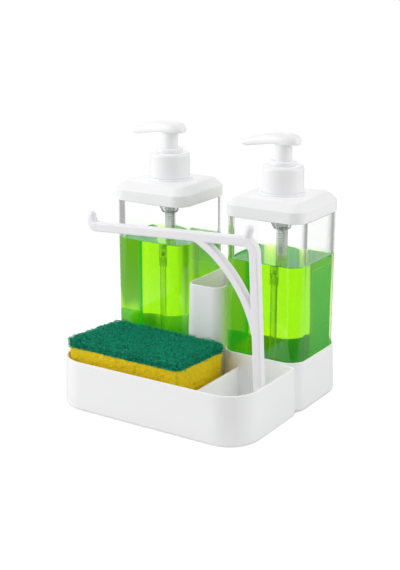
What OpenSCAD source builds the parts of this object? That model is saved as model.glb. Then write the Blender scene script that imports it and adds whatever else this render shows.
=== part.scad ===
// Soap pump caddy: a white tray with two square pump jars, a tall brush well between them,
// a sponge compartment and a towel rail that stands in a socket by the right wall.
// The origin is at the middle of the footprint, on the surface that the feet stand on.
// X runs to the right, Y to the back and Z up.

/* [Tray] */
// Width of the tray across its rim
tray_w = 175; // [150:1:200]
// Depth of the whole caddy at its rims, from the tray's front to the wells' back
caddy_d = 154.4; // [135:0.1:180]
// Height of the tray's rim
tray_h = 40.5; // [37:0.5:42]
// Radius of the tray's front corners, seen from above
tray_corner = 25.7; // [15:0.1:30]
// Thickness of the tray's walls
tray_wall = 1.8; // [1.4:0.1:2.2]
// Thickness of the floor
floor_t = 2.5; // [2.2:0.1:3.5]
// How much further out the walls stand at the foot than at the rim, on each side
wall_draft = 1.5; // [0.5:0.1:2]
// Radius of the rounded foot of the outer walls
foot_round = 4; // [2:0.5:6]
// Rounding of the outer edge of each rim
rim_round = 0.5; // [0.2:0.1:0.7]
// Width of the tray to the right of the divider's middle, walls included
side_w = 51.5; // [45:0.5:60]
// Height of the divider's top edge
divider_h = 31; // [22:1:35]
// Thickness of the divider
divider_t = 1.8; // [1.2:0.1:2.4]
// Height of the drain ribs under the sponge
rib_h = 2.5; // [1:0.5:4]
// Width of one drain rib
rib_w = 1.6; // [1:0.1:3]
// Number of drain ribs
rib_count = 5; // [3:1:7]

/* [Jar wells] */
// Width of the gap between the rims of the two jar wells
well_gap = 34.8; // [30:0.2:42]
// Thickness of the wells' walls at the rim
well_wall = 1.15; // [1:0.05:1.6]
// Height of the wells' rims
well_h = 42.5; // [42:0.5:50]
// How far each well stands out beyond the side of the tray
well_out = 2; // [1:0.1:3]

/* [Brush well] */
// Height of the brush well's rim
brush_h = 92; // [70:1:110]
// How far the brush well's front stands behind the front of the jar wells
brush_set_back = 2.8; // [1:0.1:6]
// Depth of the brush well at its rim
brush_d = 63; // [50:1:66]
// How much narrower the rim of the brush well is than the gap between the wells, on each side
brush_inset = 1.2; // [0.8:0.1:2]
// How much wider the brush well is at its foot than at its rim, on each side
brush_flare = 2.6; // [2.2:0.1:3]
// Radius of the brush well's corners
brush_corner = 8; // [5:0.5:10]
// Thickness of the brush well's walls
brush_wall = 1.6; // [1.2:0.1:2]

/* [Feet] */
// Diameter of one rubber foot
foot_d = 12; // [8:1:16]
// Thickness of one rubber foot
foot_t = 1.5; // [1:0.1:2]
// How far the feet lift the tray off the surface
foot_lift = 0.5; // [0.3:0.1:0.8]
// How far each foot's middle stands in from the rims beside it
foot_inset = 22; // [18:1:28]

/* [Towel rail] */
// Width and depth of the rail's square section
rail_w = 7.2; // [6.4:0.1:8]
// Chamfer along the rail's long edges
rail_chamfer = 0.9; // [0.3:0.1:1.2]
// How far the post's foot stands in from the tray's right rim
rail_inset = 5.5; // [4:0.5:9]
// How far the post stands behind the tray's front rim
rail_back = 39.4; // [34:0.2:60]
// Angle by which the rail leans towards the free end of its bar
rail_lean = 3; // [0:0.5:4]
// Height of the bar's middle above the foot, along the post
rail_h = 149.6; // [125:0.2:175]
// How much shorter the bar is than the tray is wide
rail_short = 26.1; // [15:0.1:50]
// Radius of the bend between the post and the bar, at the middle of the section
elbow_r = 9; // [6:0.5:14]
// Radius of the bend at the end hook
hook_r = 5; // [4:0.5:8]
// Height of both hooks above the bar's middle
hook_h = 10.8; // [9:0.2:16]
// Diameter of the hooks' rounded tips
hook_d = 5.8; // [4:0.1:6.2]
// Distance of the corner hook from the post's middle
peg_x = 7; // [4:0.5:12]
// Angle by which the corner hook leans outward
peg_lean = 20; // [0:1:30]
// Thickness of the curved brace
brace_t = 6.2; // [4:0.1:6.4]
// How far the brace's faces are set back from the post's and the bar's
brace_set = 0.2; // [0.1:0.05:0.4]
// Radius of the brace at the middle of its section
brace_r = 101.6; // [95:0.2:110]
// How far the brace's centre lies from the post's middle, towards the hook
brace_reach = 100.7; // [94:0.1:109]
// How far the brace's centre lies below the middle of the bar
brace_drop = 88.9; // [84:0.1:93]
// Height of the socket for the post
socket_h = 26; // [18:1:30]
// Width of the socket's outside
socket_w = 12.8; // [11:0.2:15]
// Clearance between the post and the socket
socket_fit = 0.15; // [0.1:0.01:0.3]

/* [Sponge] */
// Gap between the tray's left wall and the sponge
sponge_left_gap = 8.8; // [6:0.1:20]
// Gap between the sponge and the divider
sponge_right_gap = 13; // [6:0.1:25]
// Gap between the tray's front wall and the sponge
sponge_front_gap = 7.4; // [5:0.1:15]
// Gap between the sponge and the jar wells
sponge_back_gap = 6.1; // [5:0.1:15]
// Thickness of the foam at the middle of its length
foam_h = 39.4; // [25:0.2:45]
// Thickness of the scouring pad
pad_h = 5.4; // [4:0.2:9]
// How much lower the right end of the sponge is than the left end
sponge_drop = 2.6; // [0:0.1:4]
// Radius of the sponge's corners
sponge_corner = 3.5; // [2:0.5:8]
// Angle by which the sponge lies turned in the tray
sponge_turn = 1.6; // [0:0.1:2.2]

/* [Jars] */
// Clearance of a jar in its well, on each side
jar_fit = 0.3; // [0.2:0.05:0.6]
// Height of a jar from its foot to its shoulder
jar_h = 150.2; // [110:0.2:180]
// Radius of a jar's corners
jar_corner = 12.9; // [10:0.1:14]
// Thickness of a jar's walls
jar_wall = 1.8; // [1.2:0.1:2.4]
// Thickness of a jar's foot
jar_foot = 3; // [2:0.1:5]
// How far the neck is set in from the jar's sides
neck_inset = 2; // [1.8:0.1:2.2]
// Height of the neck above the shoulder
neck_h = 6; // [4:0.5:7]
// Depth of the soap
soap_h = 112.6; // [40:0.1:114]

/* [Lids] */
// How far a lid stands out beyond its jar, on each side
lid_over = 0.3; // [0.2:0.1:0.8]
// Radius of a lid's corners
lid_corner = 11.5; // [10:0.1:14]
// Height of a lid's upright skirt
lid_skirt = 8.9; // [8.6:0.1:11]
// Rise from the skirt to the flat top
lid_rise = 6.3; // [5:0.1:8]
// How far the flat top is set in from the lid's sides
lid_slope = 8; // [7:0.1:9]
// Diameter of the round step under the collar
step_d = 36.7; // [35:0.1:40]
// Height of the round step under the collar
step_h = 2; // [1:0.1:3]
// Diameter of the lid's threaded neck
spout_d = 26.6; // [26:0.1:27]
// Height of the lid's threaded neck above the flat top
spout_h = 15; // [12:0.1:18]

/* [Pumps] */
// Diameter of the screw collar
collar_d = 33.5; // [32:0.1:35]
// Height of the screw collar
collar_h = 20.3; // [18:0.1:24]
// Rounding of the collar's shoulder
collar_round = 3; // [1:0.1:3.6]
// Diameter of the domed lock ring on the collar
ring_d = 21.4; // [20.6:0.1:24]
// Height of the domed lock ring
ring_h = 3.5; // [2:0.1:4]
// Travel of the pump
stroke = 12; // [8:0.5:12]
// Diameter of the sleeve under the head
sleeve_d = 13.7; // [13:0.1:14]
// Diameter of the pump body inside the lid
body_d = 17; // [16.6:0.1:17.4]
// Diameter of the pump's spring tube
tube_d = 8.5; // [8:0.1:9]
// How far the pump body reaches below the lid's skirt
body_drop = 11.8; // [8:0.1:16]
// Length of the spring tube below the pump body
tube_len = 46; // [44:0.5:60]
// Diameter of the dip tube
dip_d = 6; // [5:0.1:6]
// Diameter of the piston rod's upper part
rod_d = 7; // [6.6:0.1:7.2]
// Diameter of the spring
spring_d = 5.6; // [5.2:0.1:5.6]
// Thickness of the spring's wire
wire_d = 0.8; // [0.6:0.1:0.9]
// Turns of the spring
spring_turns = 14; // [8:1:16]
// Diameter of the check ball
ball_d = 4; // [3.6:0.1:4.2]

/* [Pump heads] */
// Reach of the nozzle from the pump's axis
head_reach = 37.4; // [30:0.1:37.4]
// Reach of the rounded back end from the pump's axis
head_back = 14.5; // [12:0.1:18]
// Width of the head
head_w = 17.4; // [15:0.1:20]
// Height of the head above its underside
head_h = 9.8; // [8:0.1:12]
// How far the nozzle's end face slants back
tip_slant = 3.2; // [0:0.1:4]
// Diameter of the outlet in the nozzle
outlet_d = 2.4; // [1.5:0.1:2.4]

/* [Hidden] */

$fn = 72;
// How far cuts run past the faces that they open
overrun = 1;
// How far a rib or wall is rooted in what carries it
root = 0.6;
// Clearance of a lifted piece above its seat
seat_gap = 0.3;
// Sides of the straight steps on each rounded corner and fillet
corner_steps = 9;
fillet_steps = 4;

// Heights in the caddy
base_z = foot_lift;
floor_z = base_z + floor_t;

// Places in the caddy
front_y = -caddy_d / 2;
well_w = tray_w / 2 + well_out - well_gap / 2;
well_x = (well_gap + well_w) / 2;
well_y = caddy_d / 2 - well_w / 2;
well_front_y = well_y - well_w / 2;
// The fronts of the wells close the tray, and short back walls close it beside their rounded corners
tray_back_y = well_front_y + root;
// Depth of the floor between the wells' rounded corners, in front of the brush well
pocket_d = 9;
tray_mid_y = (front_y + tray_back_y) / 2;
tray_d = tray_back_y - front_y;
tray_back_corner = 3;
brush_w = well_gap - 2 * brush_inset;
brush_y = well_front_y + brush_set_back + brush_d / 2;
well_inner = well_w - 2 * well_wall;
well_inner_corner = jar_corner + jar_fit;
well_corner = well_inner_corner + well_wall;
divider_x = tray_w / 2 - side_w;
rail_x = tray_w / 2 - rail_inset;
rail_len = tray_w - rail_short;
// Bare floor left of the drain ribs
rib_margin = 2;
// How far the socket's outside stands off its hole's middle, towards the free end of the bar
socket_shift = 0.6;
// Clearance of a foot in its recess
foot_fit = 0.1;

// Sizes and heights of one jar and its lid
jar_w = well_inner - 2 * jar_fit;
lid_w = jar_w + 2 * lid_over;
jar_z = floor_z + seat_gap;
shoulder_z = jar_z + jar_h;
neck_z = shoulder_z + neck_h;
neck_w = jar_w - 2 * neck_inset;
neck_corner = jar_corner - neck_inset;
lid_z = shoulder_z + seat_gap;
gasket_z = neck_z + seat_gap;
gasket_t = 1.2;
lid_roof_z = gasket_z + gasket_t;
lid_top_z = lid_z + lid_skirt + lid_rise;
// Clearance of the neck inside the lid
neck_fit = 0.3;
recess_w = neck_w + 2 * neck_fit;
recess_corner = neck_corner + neck_fit;
lid_wall = 2;
// How far the hollow under the lid's top is set in from the gasket
hollow_inset = 4;

// Heights of one pump
step_z = lid_top_z + step_h;
spout_z = lid_top_z + spout_h;
collar_gap = 0.2;
collar_z = step_z + collar_gap;
collar_top_z = collar_z + collar_h;
washer_t = 0.8;
flange_z = spout_z + washer_t;
flange_t = 2.4;
flange_top_z = flange_z + flange_t;
flange_d = 25.6;
ring_z = collar_top_z;
ring_top_z = ring_z + ring_h;
press_gap = 0.7;
head_z = ring_top_z + stroke + press_gap;
// Radial clearances of the pump's sliding and nested pieces
slide_fit = 0.2;
bore_fit = 0.05;
nest_fit = 0.3;
ring_bore_d = sleeve_d + 2 * slide_fit;
ring_wall = 2.45;
ring_skirt_d = ring_bore_d + 2 * ring_wall;
// How far the sleeve reaches into the lock ring at rest
sleeve_hold = 1.9;
sleeve_z = ring_top_z - sleeve_hold;
pocket_z = sleeve_z - stroke - press_gap;
body_z = lid_z - body_drop;
body_round = 3;
piston_bore_d = 12;
chamber_floor_t = 4.5;
chamber_z = body_z + chamber_floor_t;
tube_z = body_z - tube_len;
spring_fit = 0.45;
spring_bore_d = spring_d + 2 * spring_fit;
socket_depth = 7;
valve_z = tube_z + socket_depth;
valve_t = 2;
cage_z = valve_z + valve_t;
cage_h = 5;
cage_d = ball_d + 4 * slide_fit;
seat_d = 3;
spring_z = cage_z + cage_h;
rod_end_d = 5.4;
rod_end_gap = 1.3;
rod_end_z = body_z + rod_end_gap;
rod_bore_d = 3;
rod_collar_d = 9.5;
rod_collar_t = 2;
piston_t = 6;
piston_z = pocket_z - nest_fit - piston_t - root;
rod_top_gap = 0.4;
rod_top_z = head_z - rod_top_gap;
sleeve_roof_drop = 4;
rod_socket_z = head_z - sleeve_roof_drop;
sleeve_bore_d = 11;
dip_wall = 1;
dip_gap = 1.5;
dip_z = jar_z + jar_foot + dip_gap;
dip_top_z = valve_z - bore_fit;
dip_bore_d = dip_d + 2 * bore_fit;

// Clearances of the soap from the jar and from the pump that lifts out of it
soap_fit = 0.15;
soap_bore_fit = 0.4;
soap_z = jar_z + jar_foot + soap_fit;
soap_top_z = soap_z + soap_h;
soap_w = jar_w - 2 * jar_wall - 2 * soap_fit;
soap_corner = jar_corner - jar_wall - soap_fit;

// Sizes, place and heights of the sponge
sponge_x0 = tray_wall - tray_w / 2 + sponge_left_gap;
sponge_x1 = divider_x - divider_t / 2 - sponge_right_gap;
sponge_y0 = front_y + tray_wall + sponge_front_gap;
sponge_y1 = well_front_y - sponge_back_gap;
sponge_l = sponge_x1 - sponge_x0;
sponge_w = sponge_y1 - sponge_y0;
foam_z = floor_z + rib_h + seat_gap;
foam_top_z = foam_z + foam_h;
pad_top_z = foam_top_z + pad_h;
sponge_edge = 1.5;
sponge_waist = 0.8;

// Heights along the towel rail's post
post_floor_t = 0.4;
post_z = floor_z + post_floor_t + seat_gap;
rail_y = front_y + rail_back;

// The lid's slope: heights as shares of its rise and insets as shares of its width
lid_shares = [[0.08, 0.09], [0.80, 0.72], [0.92, 0.86], [0.98, 0.97], [1.00, 1.10]];

// Height of the domed ring's outer edge, as a share of the ring's height
ring_edge_share = 0.15;

// Height of the outlet channel above the stem, as a share of the head's height
channel_share = 0.3;

// Pump head sections from the nozzle's tip to the back end. Each row holds the place along the
// head, as a share of the reach or of the back, the width as a share of the head's width, and the
// heights of the crest, the side edge and the underside as shares of the head's height.
head_shares = [
    [-1.00, 0.30, 0.00, -0.22, -0.43],
    [-0.85, 0.38, 0.24, -0.12, -0.40],
    [-0.65, 0.52, 0.53, 0.04, -0.29],
    [-0.45, 0.68, 0.77, 0.15, -0.16],
    [-0.25, 0.86, 0.93, 0.22, -0.04],
    [-0.08, 0.97, 1.00, 0.25, 0.00],
    [0.20, 1.00, 1.00, 0.26, 0.00],
    [0.45, 0.96, 0.95, 0.26, 0.00],
    [0.70, 0.84, 0.84, 0.25, 0.00],
    [0.88, 0.62, 0.68, 0.24, 0.02],
    [0.97, 0.38, 0.50, 0.22, 0.06],
    [1.00, 0.14, 0.34, 0.20, 0.12]
];
head_sides = 24;
// Roundness of the head's section: the side, the upper half and the lower half
head_power_shares = [0.80, 0.95, 0.60];

// Sides and rings of the spring's wire
wire_sides = 6;
rings_per_turn = 8;

// Points round one ring of a rounded rectangle, w wide, d deep, with corner radius r (back) and
// rf (front), at height z and centred at [cx, cy]. drop lowers the ring's right end and raises its left.
function ring(w, d, r, rf, z, cx = 0, cy = 0, drop = 0) = [
    for (q = [0:3])
        for (i = [0:corner_steps])
            let (
                a = 90 * (q + i / corner_steps),
                k = q < 2 ? r : rf,
                sx = (q == 0 || q == 3) ? 1 : -1,
                sy = q < 2 ? 1 : -1,
                x = sx * (w / 2 - k) + k * cos(a),
                y = sy * (d / 2 - k) + k * sin(a)
            )
            [cx + x, cy + y, z - (drop == 0 ? 0 : drop * x / w)]
];

// Closed skin through a stack of rings that all have the same number of points
module skin(rings) {
    n = len(rings[0]);
    m = len(rings);
    polyhedron(
        points = [for (g = rings) for (p = g) p],
        faces = concat(
            [[for (i = [0:n - 1]) i]],
            [for (k = [0:m - 2]) for (i = [0:n - 1]) let (j = (i + 1) % n)
                [k * n + i, (k + 1) * n + i, (k + 1) * n + j]],
            [for (k = [0:m - 2]) for (i = [0:n - 1]) let (j = (i + 1) % n)
                [k * n + i, (k + 1) * n + j, k * n + j]],
            [[for (i = [n - 1:-1:0]) (m - 1) * n + i]]
        ),
        convexity = 4
    );
}

// How far a drafted wall stands out at height z when its rim is at height top
function draft(z, top) = wall_draft * (top - z) / (top - base_z);

// Moulded block with drafted walls, a rounded foot and an eased rim
module moulded_block(w, d, r, rf, top, cx, cy) {
    foot = [for (i = [0:fillet_steps])
        let (a = 90 * i / fillet_steps, z = base_z + foot_round * (1 - cos(a)))
        [z, draft(z, top) - foot_round * (1 - sin(a))]];
    rim = [[top - rim_round, draft(top - rim_round, top)], [top, -rim_round]];
    skin([for (s = concat(foot, rim))
        ring(w + 2 * s[1], d + 2 * s[1], r + s[1], rf + s[1], s[0], cx, cy)]);
}

// Upright block with a rounded outline, exact on every face
module rounded_block(w, d, r, z0, z1, cx = 0, cy = 0) {
    translate([cx, cy, z0])
        linear_extrude(height = z1 - z0)
            rounded_outline(w, d, r);
}

module rounded_outline(w, d, r) {
    square([w - 2 * r, d], center = true);
    square([w, d - 2 * r], center = true);
    for (sx = [-1, 1])
        for (sy = [-1, 1])
            translate([sx * (w / 2 - r), sy * (d / 2 - r)])
                circle(r = r);
}

module disc(d, z0, z1) {
    translate([0, 0, z0])
        cylinder(d = d, h = z1 - z0);
}

// The brush well's outside: its front corners are round and its sides lean out towards the foot
module brush_block() {
    z0 = base_z + rim_round;
    rise = brush_h - z0;
    levels = [[0, brush_flare], [rise - rim_round, brush_flare * rim_round / rise], [rise, -rim_round]];
    skin([for (s = levels)
        ring(brush_w + 2 * s[1], brush_d + s[1], brush_corner + s[1], brush_corner + s[1],
            z0 + s[0], 0, brush_y)]);
}

// The hollow of the tray, before the divider and the ribs go in
module tray_hollow() {
    w = tray_w - 2 * tray_wall;
    r = tray_corner - tray_wall;
    y0 = front_y + tray_wall;
    y1 = tray_back_y - tray_wall;
    y2 = tray_back_y + wall_draft + overrun;
    open_w = 2 * (well_x + well_w / 2 - well_corner);
    translate([0, 0, floor_z])
        linear_extrude(height = tray_h) {
            intersection() {
                translate([0, (y0 + y1 + tray_corner) / 2])
                    rounded_outline(w, y1 - y0 + tray_corner, r);
                translate([-w / 2, y0])
                    square([w, y1 - y0]);
            }
            translate([-open_w / 2, y1 - overrun])
                square([open_w, y2 - y1 + overrun]);
        }
}

module tray_shell() {
    difference() {
        moulded_block(tray_w, tray_d, tray_back_corner, tray_corner, tray_h, 0, tray_mid_y);
        tray_hollow();
    }
}

// A section of the rail: a square with chamfered corners
module rail_section(w = rail_w, t = rail_w, c = rail_chamfer) {
    x = w / 2;
    y = t / 2;
    polygon([
        [x, y - c], [x - c, y], [c - x, y], [-x, y - c],
        [-x, c - y], [c - x, -y], [x - c, -y], [x, c - y]
    ]);
}

// Stands its children in the rail's own frame, leaning with the post
module rail_frame() {
    translate([rail_x, rail_y, 0])
        rotate([0, -rail_lean, 0])
            children();
}

// Bend of the rail in its own plane, from angle a0 through the given sweep
module rail_bend(r, a0, sweep, x, z, w = rail_w, t = rail_w) {
    translate([x, 0, z])
        rotate([90, 0, 0])
            rotate([0, 0, a0])
                rotate_extrude(angle = sweep)
                    translate([r, 0])
                        rail_section(w, t);
}

// Rounded tip that grows out of the rail over a height h
module hook_tip(d0, h) {
    cylinder(d1 = d0, d2 = hook_d, h = h - hook_d / 2, $fn = 32);
    translate([0, 0, h - hook_d / 2])
        sphere(d = hook_d, $fn = 32);
}

module socket_hole() {
    side = rail_w + 2 * socket_fit;
    rail_frame()
        translate([0, 0, post_z - seat_gap])
            linear_extrude(height = socket_h + overrun)
                rail_section(side, side);
}

module caddy_base() {
    rib_span = divider_x - divider_t / 2 + tray_w / 2 - tray_wall - rib_margin;
    rib_y0 = front_y + tray_corner / 2;
    rib_y1 = well_front_y - brush_set_back;
    color("white")
    difference() {
        union() {
            tray_shell();
            for (s = [-1, 1])
                moulded_block(well_w, well_w, well_corner, well_corner, well_h, s * well_x, well_y);
            brush_block();
            // Floor in front of the brush well
            translate([-well_gap / 2 - well_corner, well_front_y - root, base_z])
                cube([well_gap + 2 * well_corner, pocket_d + root, floor_t]);
            // Divider between the sponge and the small compartment
            translate([divider_x - divider_t / 2, front_y + tray_wall / 2, floor_z - root])
                cube([divider_t, well_front_y - front_y, divider_h - floor_z + root]);
            // Drain ribs that keep the sponge off the floor
            for (i = [0:rib_count - 1])
                translate([divider_x - divider_t / 2 - rib_span * (i + 1) / (rib_count + 1) - rib_w / 2,
                        rib_y0, floor_z - root])
                    cube([rib_w, rib_y1 - rib_y0, rib_h + root]);
            // Socket for the rail's post
            rounded_block(socket_w, socket_w, rail_chamfer * 2, floor_z - root, socket_h,
                rail_x - socket_shift, rail_y);
        }
        for (s = [-1, 1])
            rounded_block(well_inner, well_inner, well_inner_corner, floor_z, well_h + overrun,
                s * well_x, well_y);
        rounded_block(brush_w - 2 * brush_wall, brush_d - 2 * brush_wall, brush_corner - brush_wall,
            floor_z, brush_h + overrun, 0, brush_y);
        socket_hole();
        foot_places()
            cylinder(d = foot_d + 2 * foot_fit, h = foot_t);
    }
}

module foot_places() {
    x = tray_w / 2 - foot_inset;
    y = caddy_d / 2 - foot_inset;
    for (sx = [-1, 1])
        for (sy = [-1, 1])
            translate([sx * x, sy * y, 0])
                children();
}

module rubber_feet() {
    color("dimgray")
    foot_places()
        cylinder(d = foot_d, h = foot_t);
}

module towel_rail() {
    bar_x0 = -elbow_r;
    bar_x1 = -(rail_len - hook_r);
    bar_end = rail_h + hook_r;
    color("whitesmoke")
    rail_frame() {
        translate([0, 0, post_z])
            linear_extrude(height = rail_h - elbow_r - post_z)
                rail_section();
        rail_bend(elbow_r, 0, 90, -elbow_r, rail_h - elbow_r);
        translate([bar_x1, 0, rail_h])
            rotate([0, 90, 0])
                linear_extrude(height = bar_x0 - bar_x1)
                    rail_section();
        rail_bend(hook_r, 180, 90, bar_x1, bar_end);
        translate([-rail_len, 0, bar_end])
            hook_tip(rail_w, hook_h - hook_r);
        translate([-peg_x, 0, rail_h])
            rotate([0, peg_lean, 0])
                hook_tip(hook_d, hook_h / cos(peg_lean));
        brace();
    }
}

// Curved brace from the post to the underside of the bar
module brace() {
    foot_a = acos(min(1, brace_reach / brace_r));
    top_a = asin(brace_drop / brace_r);
    rail_bend(brace_r, foot_a, top_a - foot_a, -brace_reach, rail_h - brace_drop, brace_t,
        rail_w - 2 * brace_set);
}

// Outline rings of the sponge between two heights, drawn in at the waist
function sponge_rings(levels) = [for (s = levels)
    ring(sponge_l - 2 * s[1], sponge_w - 2 * s[1], sponge_corner - s[1] / 2, sponge_corner - s[1] / 2,
        s[0], 0, 0, s[2])];

module sponge_place() {
    translate([(sponge_x0 + sponge_x1) / 2, (sponge_y0 + sponge_y1) / 2, 0])
        rotate([0, 0, sponge_turn])
            children();
}

module sponge_foam() {
    h = foam_h;
    d = sponge_drop;
    color("gold")
    sponge_place()
        skin(sponge_rings([
            [foam_z, sponge_edge, 0],
            [foam_z + sponge_edge, 0, 0],
            [foam_z + h / 2, sponge_waist, d / 2],
            [foam_top_z - sponge_edge, 0, d],
            [foam_top_z, sponge_edge / 2, d]
        ]));
}

module scouring_pad() {
    d = sponge_drop;
    color("seagreen")
    sponge_place()
        skin(sponge_rings([
            [foam_top_z, sponge_edge / 2, d],
            [foam_top_z + sponge_edge / 2, 0, d],
            [pad_top_z - sponge_edge / 2, 0, d],
            [pad_top_z, sponge_edge / 2, d]
        ]));
}

// Stands its children at the left jar's axis, or at the right one's
module left() {
    translate([-well_x, well_y, 0])
        children();
}

module right() {
    translate([well_x, well_y, 0])
        children();
}

module jar() {
    inner = jar_w - 2 * jar_wall;
    color("azure", 0.4)
    difference() {
        union() {
            rounded_block(jar_w, jar_w, jar_corner, jar_z, shoulder_z);
            rounded_block(neck_w, neck_w, neck_corner, shoulder_z - jar_wall / 2, neck_z);
        }
        rounded_block(inner, inner, jar_corner - jar_wall, jar_z + jar_foot, shoulder_z - jar_wall);
        rounded_block(neck_w - 2 * jar_wall, neck_w - 2 * jar_wall, neck_corner - jar_wall,
            shoulder_z - 2 * jar_wall, neck_z + overrun);
    }
}

module soap() {
    color("limegreen", 0.7)
    difference() {
        rounded_block(soap_w, soap_w, soap_corner, soap_z, soap_top_z);
        disc(tube_d + 2 * soap_bore_fit, tube_z - soap_bore_fit, soap_top_z + overrun);
        disc(dip_d + 2 * soap_bore_fit, dip_z - soap_bore_fit, soap_top_z);
    }
}

module lid_gasket() {
    w = neck_w;
    inner = neck_w - 2 * jar_wall;
    color("gainsboro")
    difference() {
        rounded_block(w, w, neck_corner, gasket_z, lid_roof_z);
        rounded_block(inner, inner, neck_corner - jar_wall, gasket_z - overrun, lid_roof_z + overrun);
    }
}

// Outside of the lid: an upright skirt with eased edges, a broad slope and a flat top
module lid_shell() {
    e = rim_round;
    levels = concat(
        [[0, e / 2], [e / 2, 0], [lid_skirt - e, 0], [lid_skirt, e / 2]],
        [for (v = lid_shares) [lid_skirt + lid_rise * v[0], lid_slope * v[1]]]
    );
    skin([for (v = levels)
        ring(lid_w - 2 * v[1], lid_w - 2 * v[1], lid_corner - v[1], lid_corner - v[1], lid_z + v[0])]);
}

module lid() {
    hollow = neck_w - 2 * jar_wall - 2 * hollow_inset;
    color("white")
    difference() {
        union() {
            lid_shell();
            disc(step_d, lid_top_z - root, step_z);
            disc(spout_d, lid_top_z - root, spout_z);
        }
        rounded_block(recess_w, recess_w, recess_corner, lid_z - overrun, lid_roof_z);
        rounded_block(hollow, hollow, neck_corner - jar_wall, lid_roof_z - root, lid_top_z - lid_wall);
        disc(body_d + 2 * nest_fit, lid_z, spout_z + overrun);
    }
}

module collar_gasket() {
    color("gainsboro")
    difference() {
        disc(flange_d, spout_z, flange_z);
        disc(body_d + 2 * nest_fit, spout_z - overrun, flange_z + overrun);
    }
}

// Screw collar: a turned cap with a rounded shoulder
module collar() {
    r = collar_d / 2;
    c = collar_round;
    inner = spout_d / 2 + nest_fit;
    hole = ring_skirt_d / 2 + slide_fit;
    shoulder = [for (i = [0:6]) let (a = 15 * i)
        [r - c + c * cos(a), collar_top_z - c + c * sin(a)]];
    color("white")
    rotate_extrude()
        polygon(concat(
            [[inner, collar_z], [r - rim_round, collar_z], [r, collar_z + rim_round]],
            shoulder,
            [[hole, collar_top_z], [hole, flange_top_z], [inner, flange_top_z]]
        ));
}

// Lock ring: a domed ring on the collar, with a skirt that reaches down to the flange
module lock_ring() {
    r0 = ring_bore_d / 2;
    r1 = ring_d / 2;
    edge = ring_edge_share;
    dome = [for (i = [0:6]) let (a = 15 * i)
        [r0 + (r1 - r0) * cos(a), ring_z + ring_h * (edge + (1 - edge) * sin(a))]];
    color("white")
    rotate_extrude()
        polygon(concat(
            [
                [r0, flange_top_z], [ring_skirt_d / 2, flange_top_z],
                [ring_skirt_d / 2, ring_z], [r1, ring_z]
            ],
            dome
        ));
}

module pump_housing() {
    body_r = body_d / 2;
    tube_r = tube_d / 2;
    flare = [for (i = [0:4]) let (a = 22.5 * i)
        [body_r - body_round * (1 - sin(a)), body_z + body_round * (1 - cos(a))]];
    color("aliceblue", 0.6)
    difference() {
        rotate_extrude()
            polygon(concat(
                [[0, tube_z], [tube_r, tube_z], [tube_r, body_z]],
                flare,
                [
                    [body_r, flange_z], [flange_d / 2, flange_z],
                    [flange_d / 2, flange_top_z], [0, flange_top_z]
                ]
            ));
        disc(ring_bore_d, pocket_z, flange_top_z + overrun);
        disc(piston_bore_d, chamber_z, flange_top_z);
        disc(spring_bore_d, spring_z, flange_top_z);
        disc(cage_d, cage_z, flange_top_z);
        disc(seat_d, tube_z, flange_top_z);
        disc(dip_bore_d, tube_z - overrun, valve_z);
    }
}

module dip_tube() {
    color("aliceblue", 0.6)
    difference() {
        disc(dip_d, dip_z, dip_top_z);
        disc(dip_d - 2 * dip_wall, dip_z - overrun, dip_top_z + overrun);
    }
}

// The ball rests on the rim of its seat
module check_ball() {
    r = ball_d / 2;
    z = cage_z + sqrt(pow(r, 2) - pow(seat_d / 2, 2)) + bore_fit;
    color("silver")
    translate([0, 0, z])
        sphere(d = ball_d, $fn = 32);
}

// The spring's wire as a path: a true helix with a short straight run at each end
spring_r = (spring_d - wire_d) / 2;
spring_z0 = spring_z + wire_d / 2 + bore_fit;
spring_z1 = rod_end_z - wire_d / 2 - bore_fit;
spring_pitch = (spring_z1 - spring_z0) / spring_turns;
spring_steps = spring_turns * rings_per_turn;
function helix_point(i) = let (a = 360 * i / rings_per_turn)
    [spring_r * cos(a), spring_r * sin(a), spring_z0 + spring_pitch * i / rings_per_turn];
function helix_tangent(i) =
    let (
        a = 360 * i / rings_per_turn,
        v = 2 * PI * spring_r,
        n = norm([v, spring_pitch])
    )
    [-sin(a) * v / n, cos(a) * v / n, spring_pitch / n];
function helix_out(i) = let (a = 360 * i / rings_per_turn) [cos(a), sin(a), 0];
function wire_ring(centre, i) = let (o = helix_out(i), u = cross(helix_tangent(i), o))
    [for (k = [0:wire_sides - 1]) let (b = 360 * k / wire_sides)
        centre + wire_d / 2 * (cos(b) * o + sin(b) * u)];
spring_path = [for (i = [0:spring_steps]) helix_point(i)];
spring_rings = concat(
    [wire_ring(spring_path[0] - wire_d * helix_tangent(0) + [0, 0, wire_d * helix_tangent(0)[2]], 0)],
    [for (i = [0:spring_steps]) wire_ring(spring_path[i], i)],
    [wire_ring(spring_path[spring_steps] + wire_d * helix_tangent(spring_steps)
        - [0, 0, wire_d * helix_tangent(spring_steps)[2]], spring_steps)]
);
// The least gap between one turn and the next, measured on the points of the path
spring_gap = min([
    for (i = [0:spring_steps - rings_per_turn])
        for (j = [i + rings_per_turn - 2:min(i + rings_per_turn + 2, spring_steps)])
            norm(spring_path[j] - spring_path[i]) - wire_d
]);
echo(least_gap_between_spring_turns = spring_gap);

module spring() {
    n = wire_sides;
    m = len(spring_rings);
    color("lightgray")
    polyhedron(
        points = [for (g = spring_rings) for (p = g) p],
        faces = concat(
            [for (i = [1:n - 2]) [0, i, i + 1]],
            [for (k = [0:m - 2]) for (i = [0:n - 1]) let (j = (i + 1) % n)
                [k * n + i, (k + 1) * n + i, (k + 1) * n + j]],
            [for (k = [0:m - 2]) for (i = [0:n - 1]) let (j = (i + 1) % n)
                [k * n + i, (k + 1) * n + j, k * n + j]],
            [for (i = [1:n - 2]) [(m - 1) * n, (m - 1) * n + i + 1, (m - 1) * n + i]]
        ),
        convexity = 10
    );
}

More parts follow.
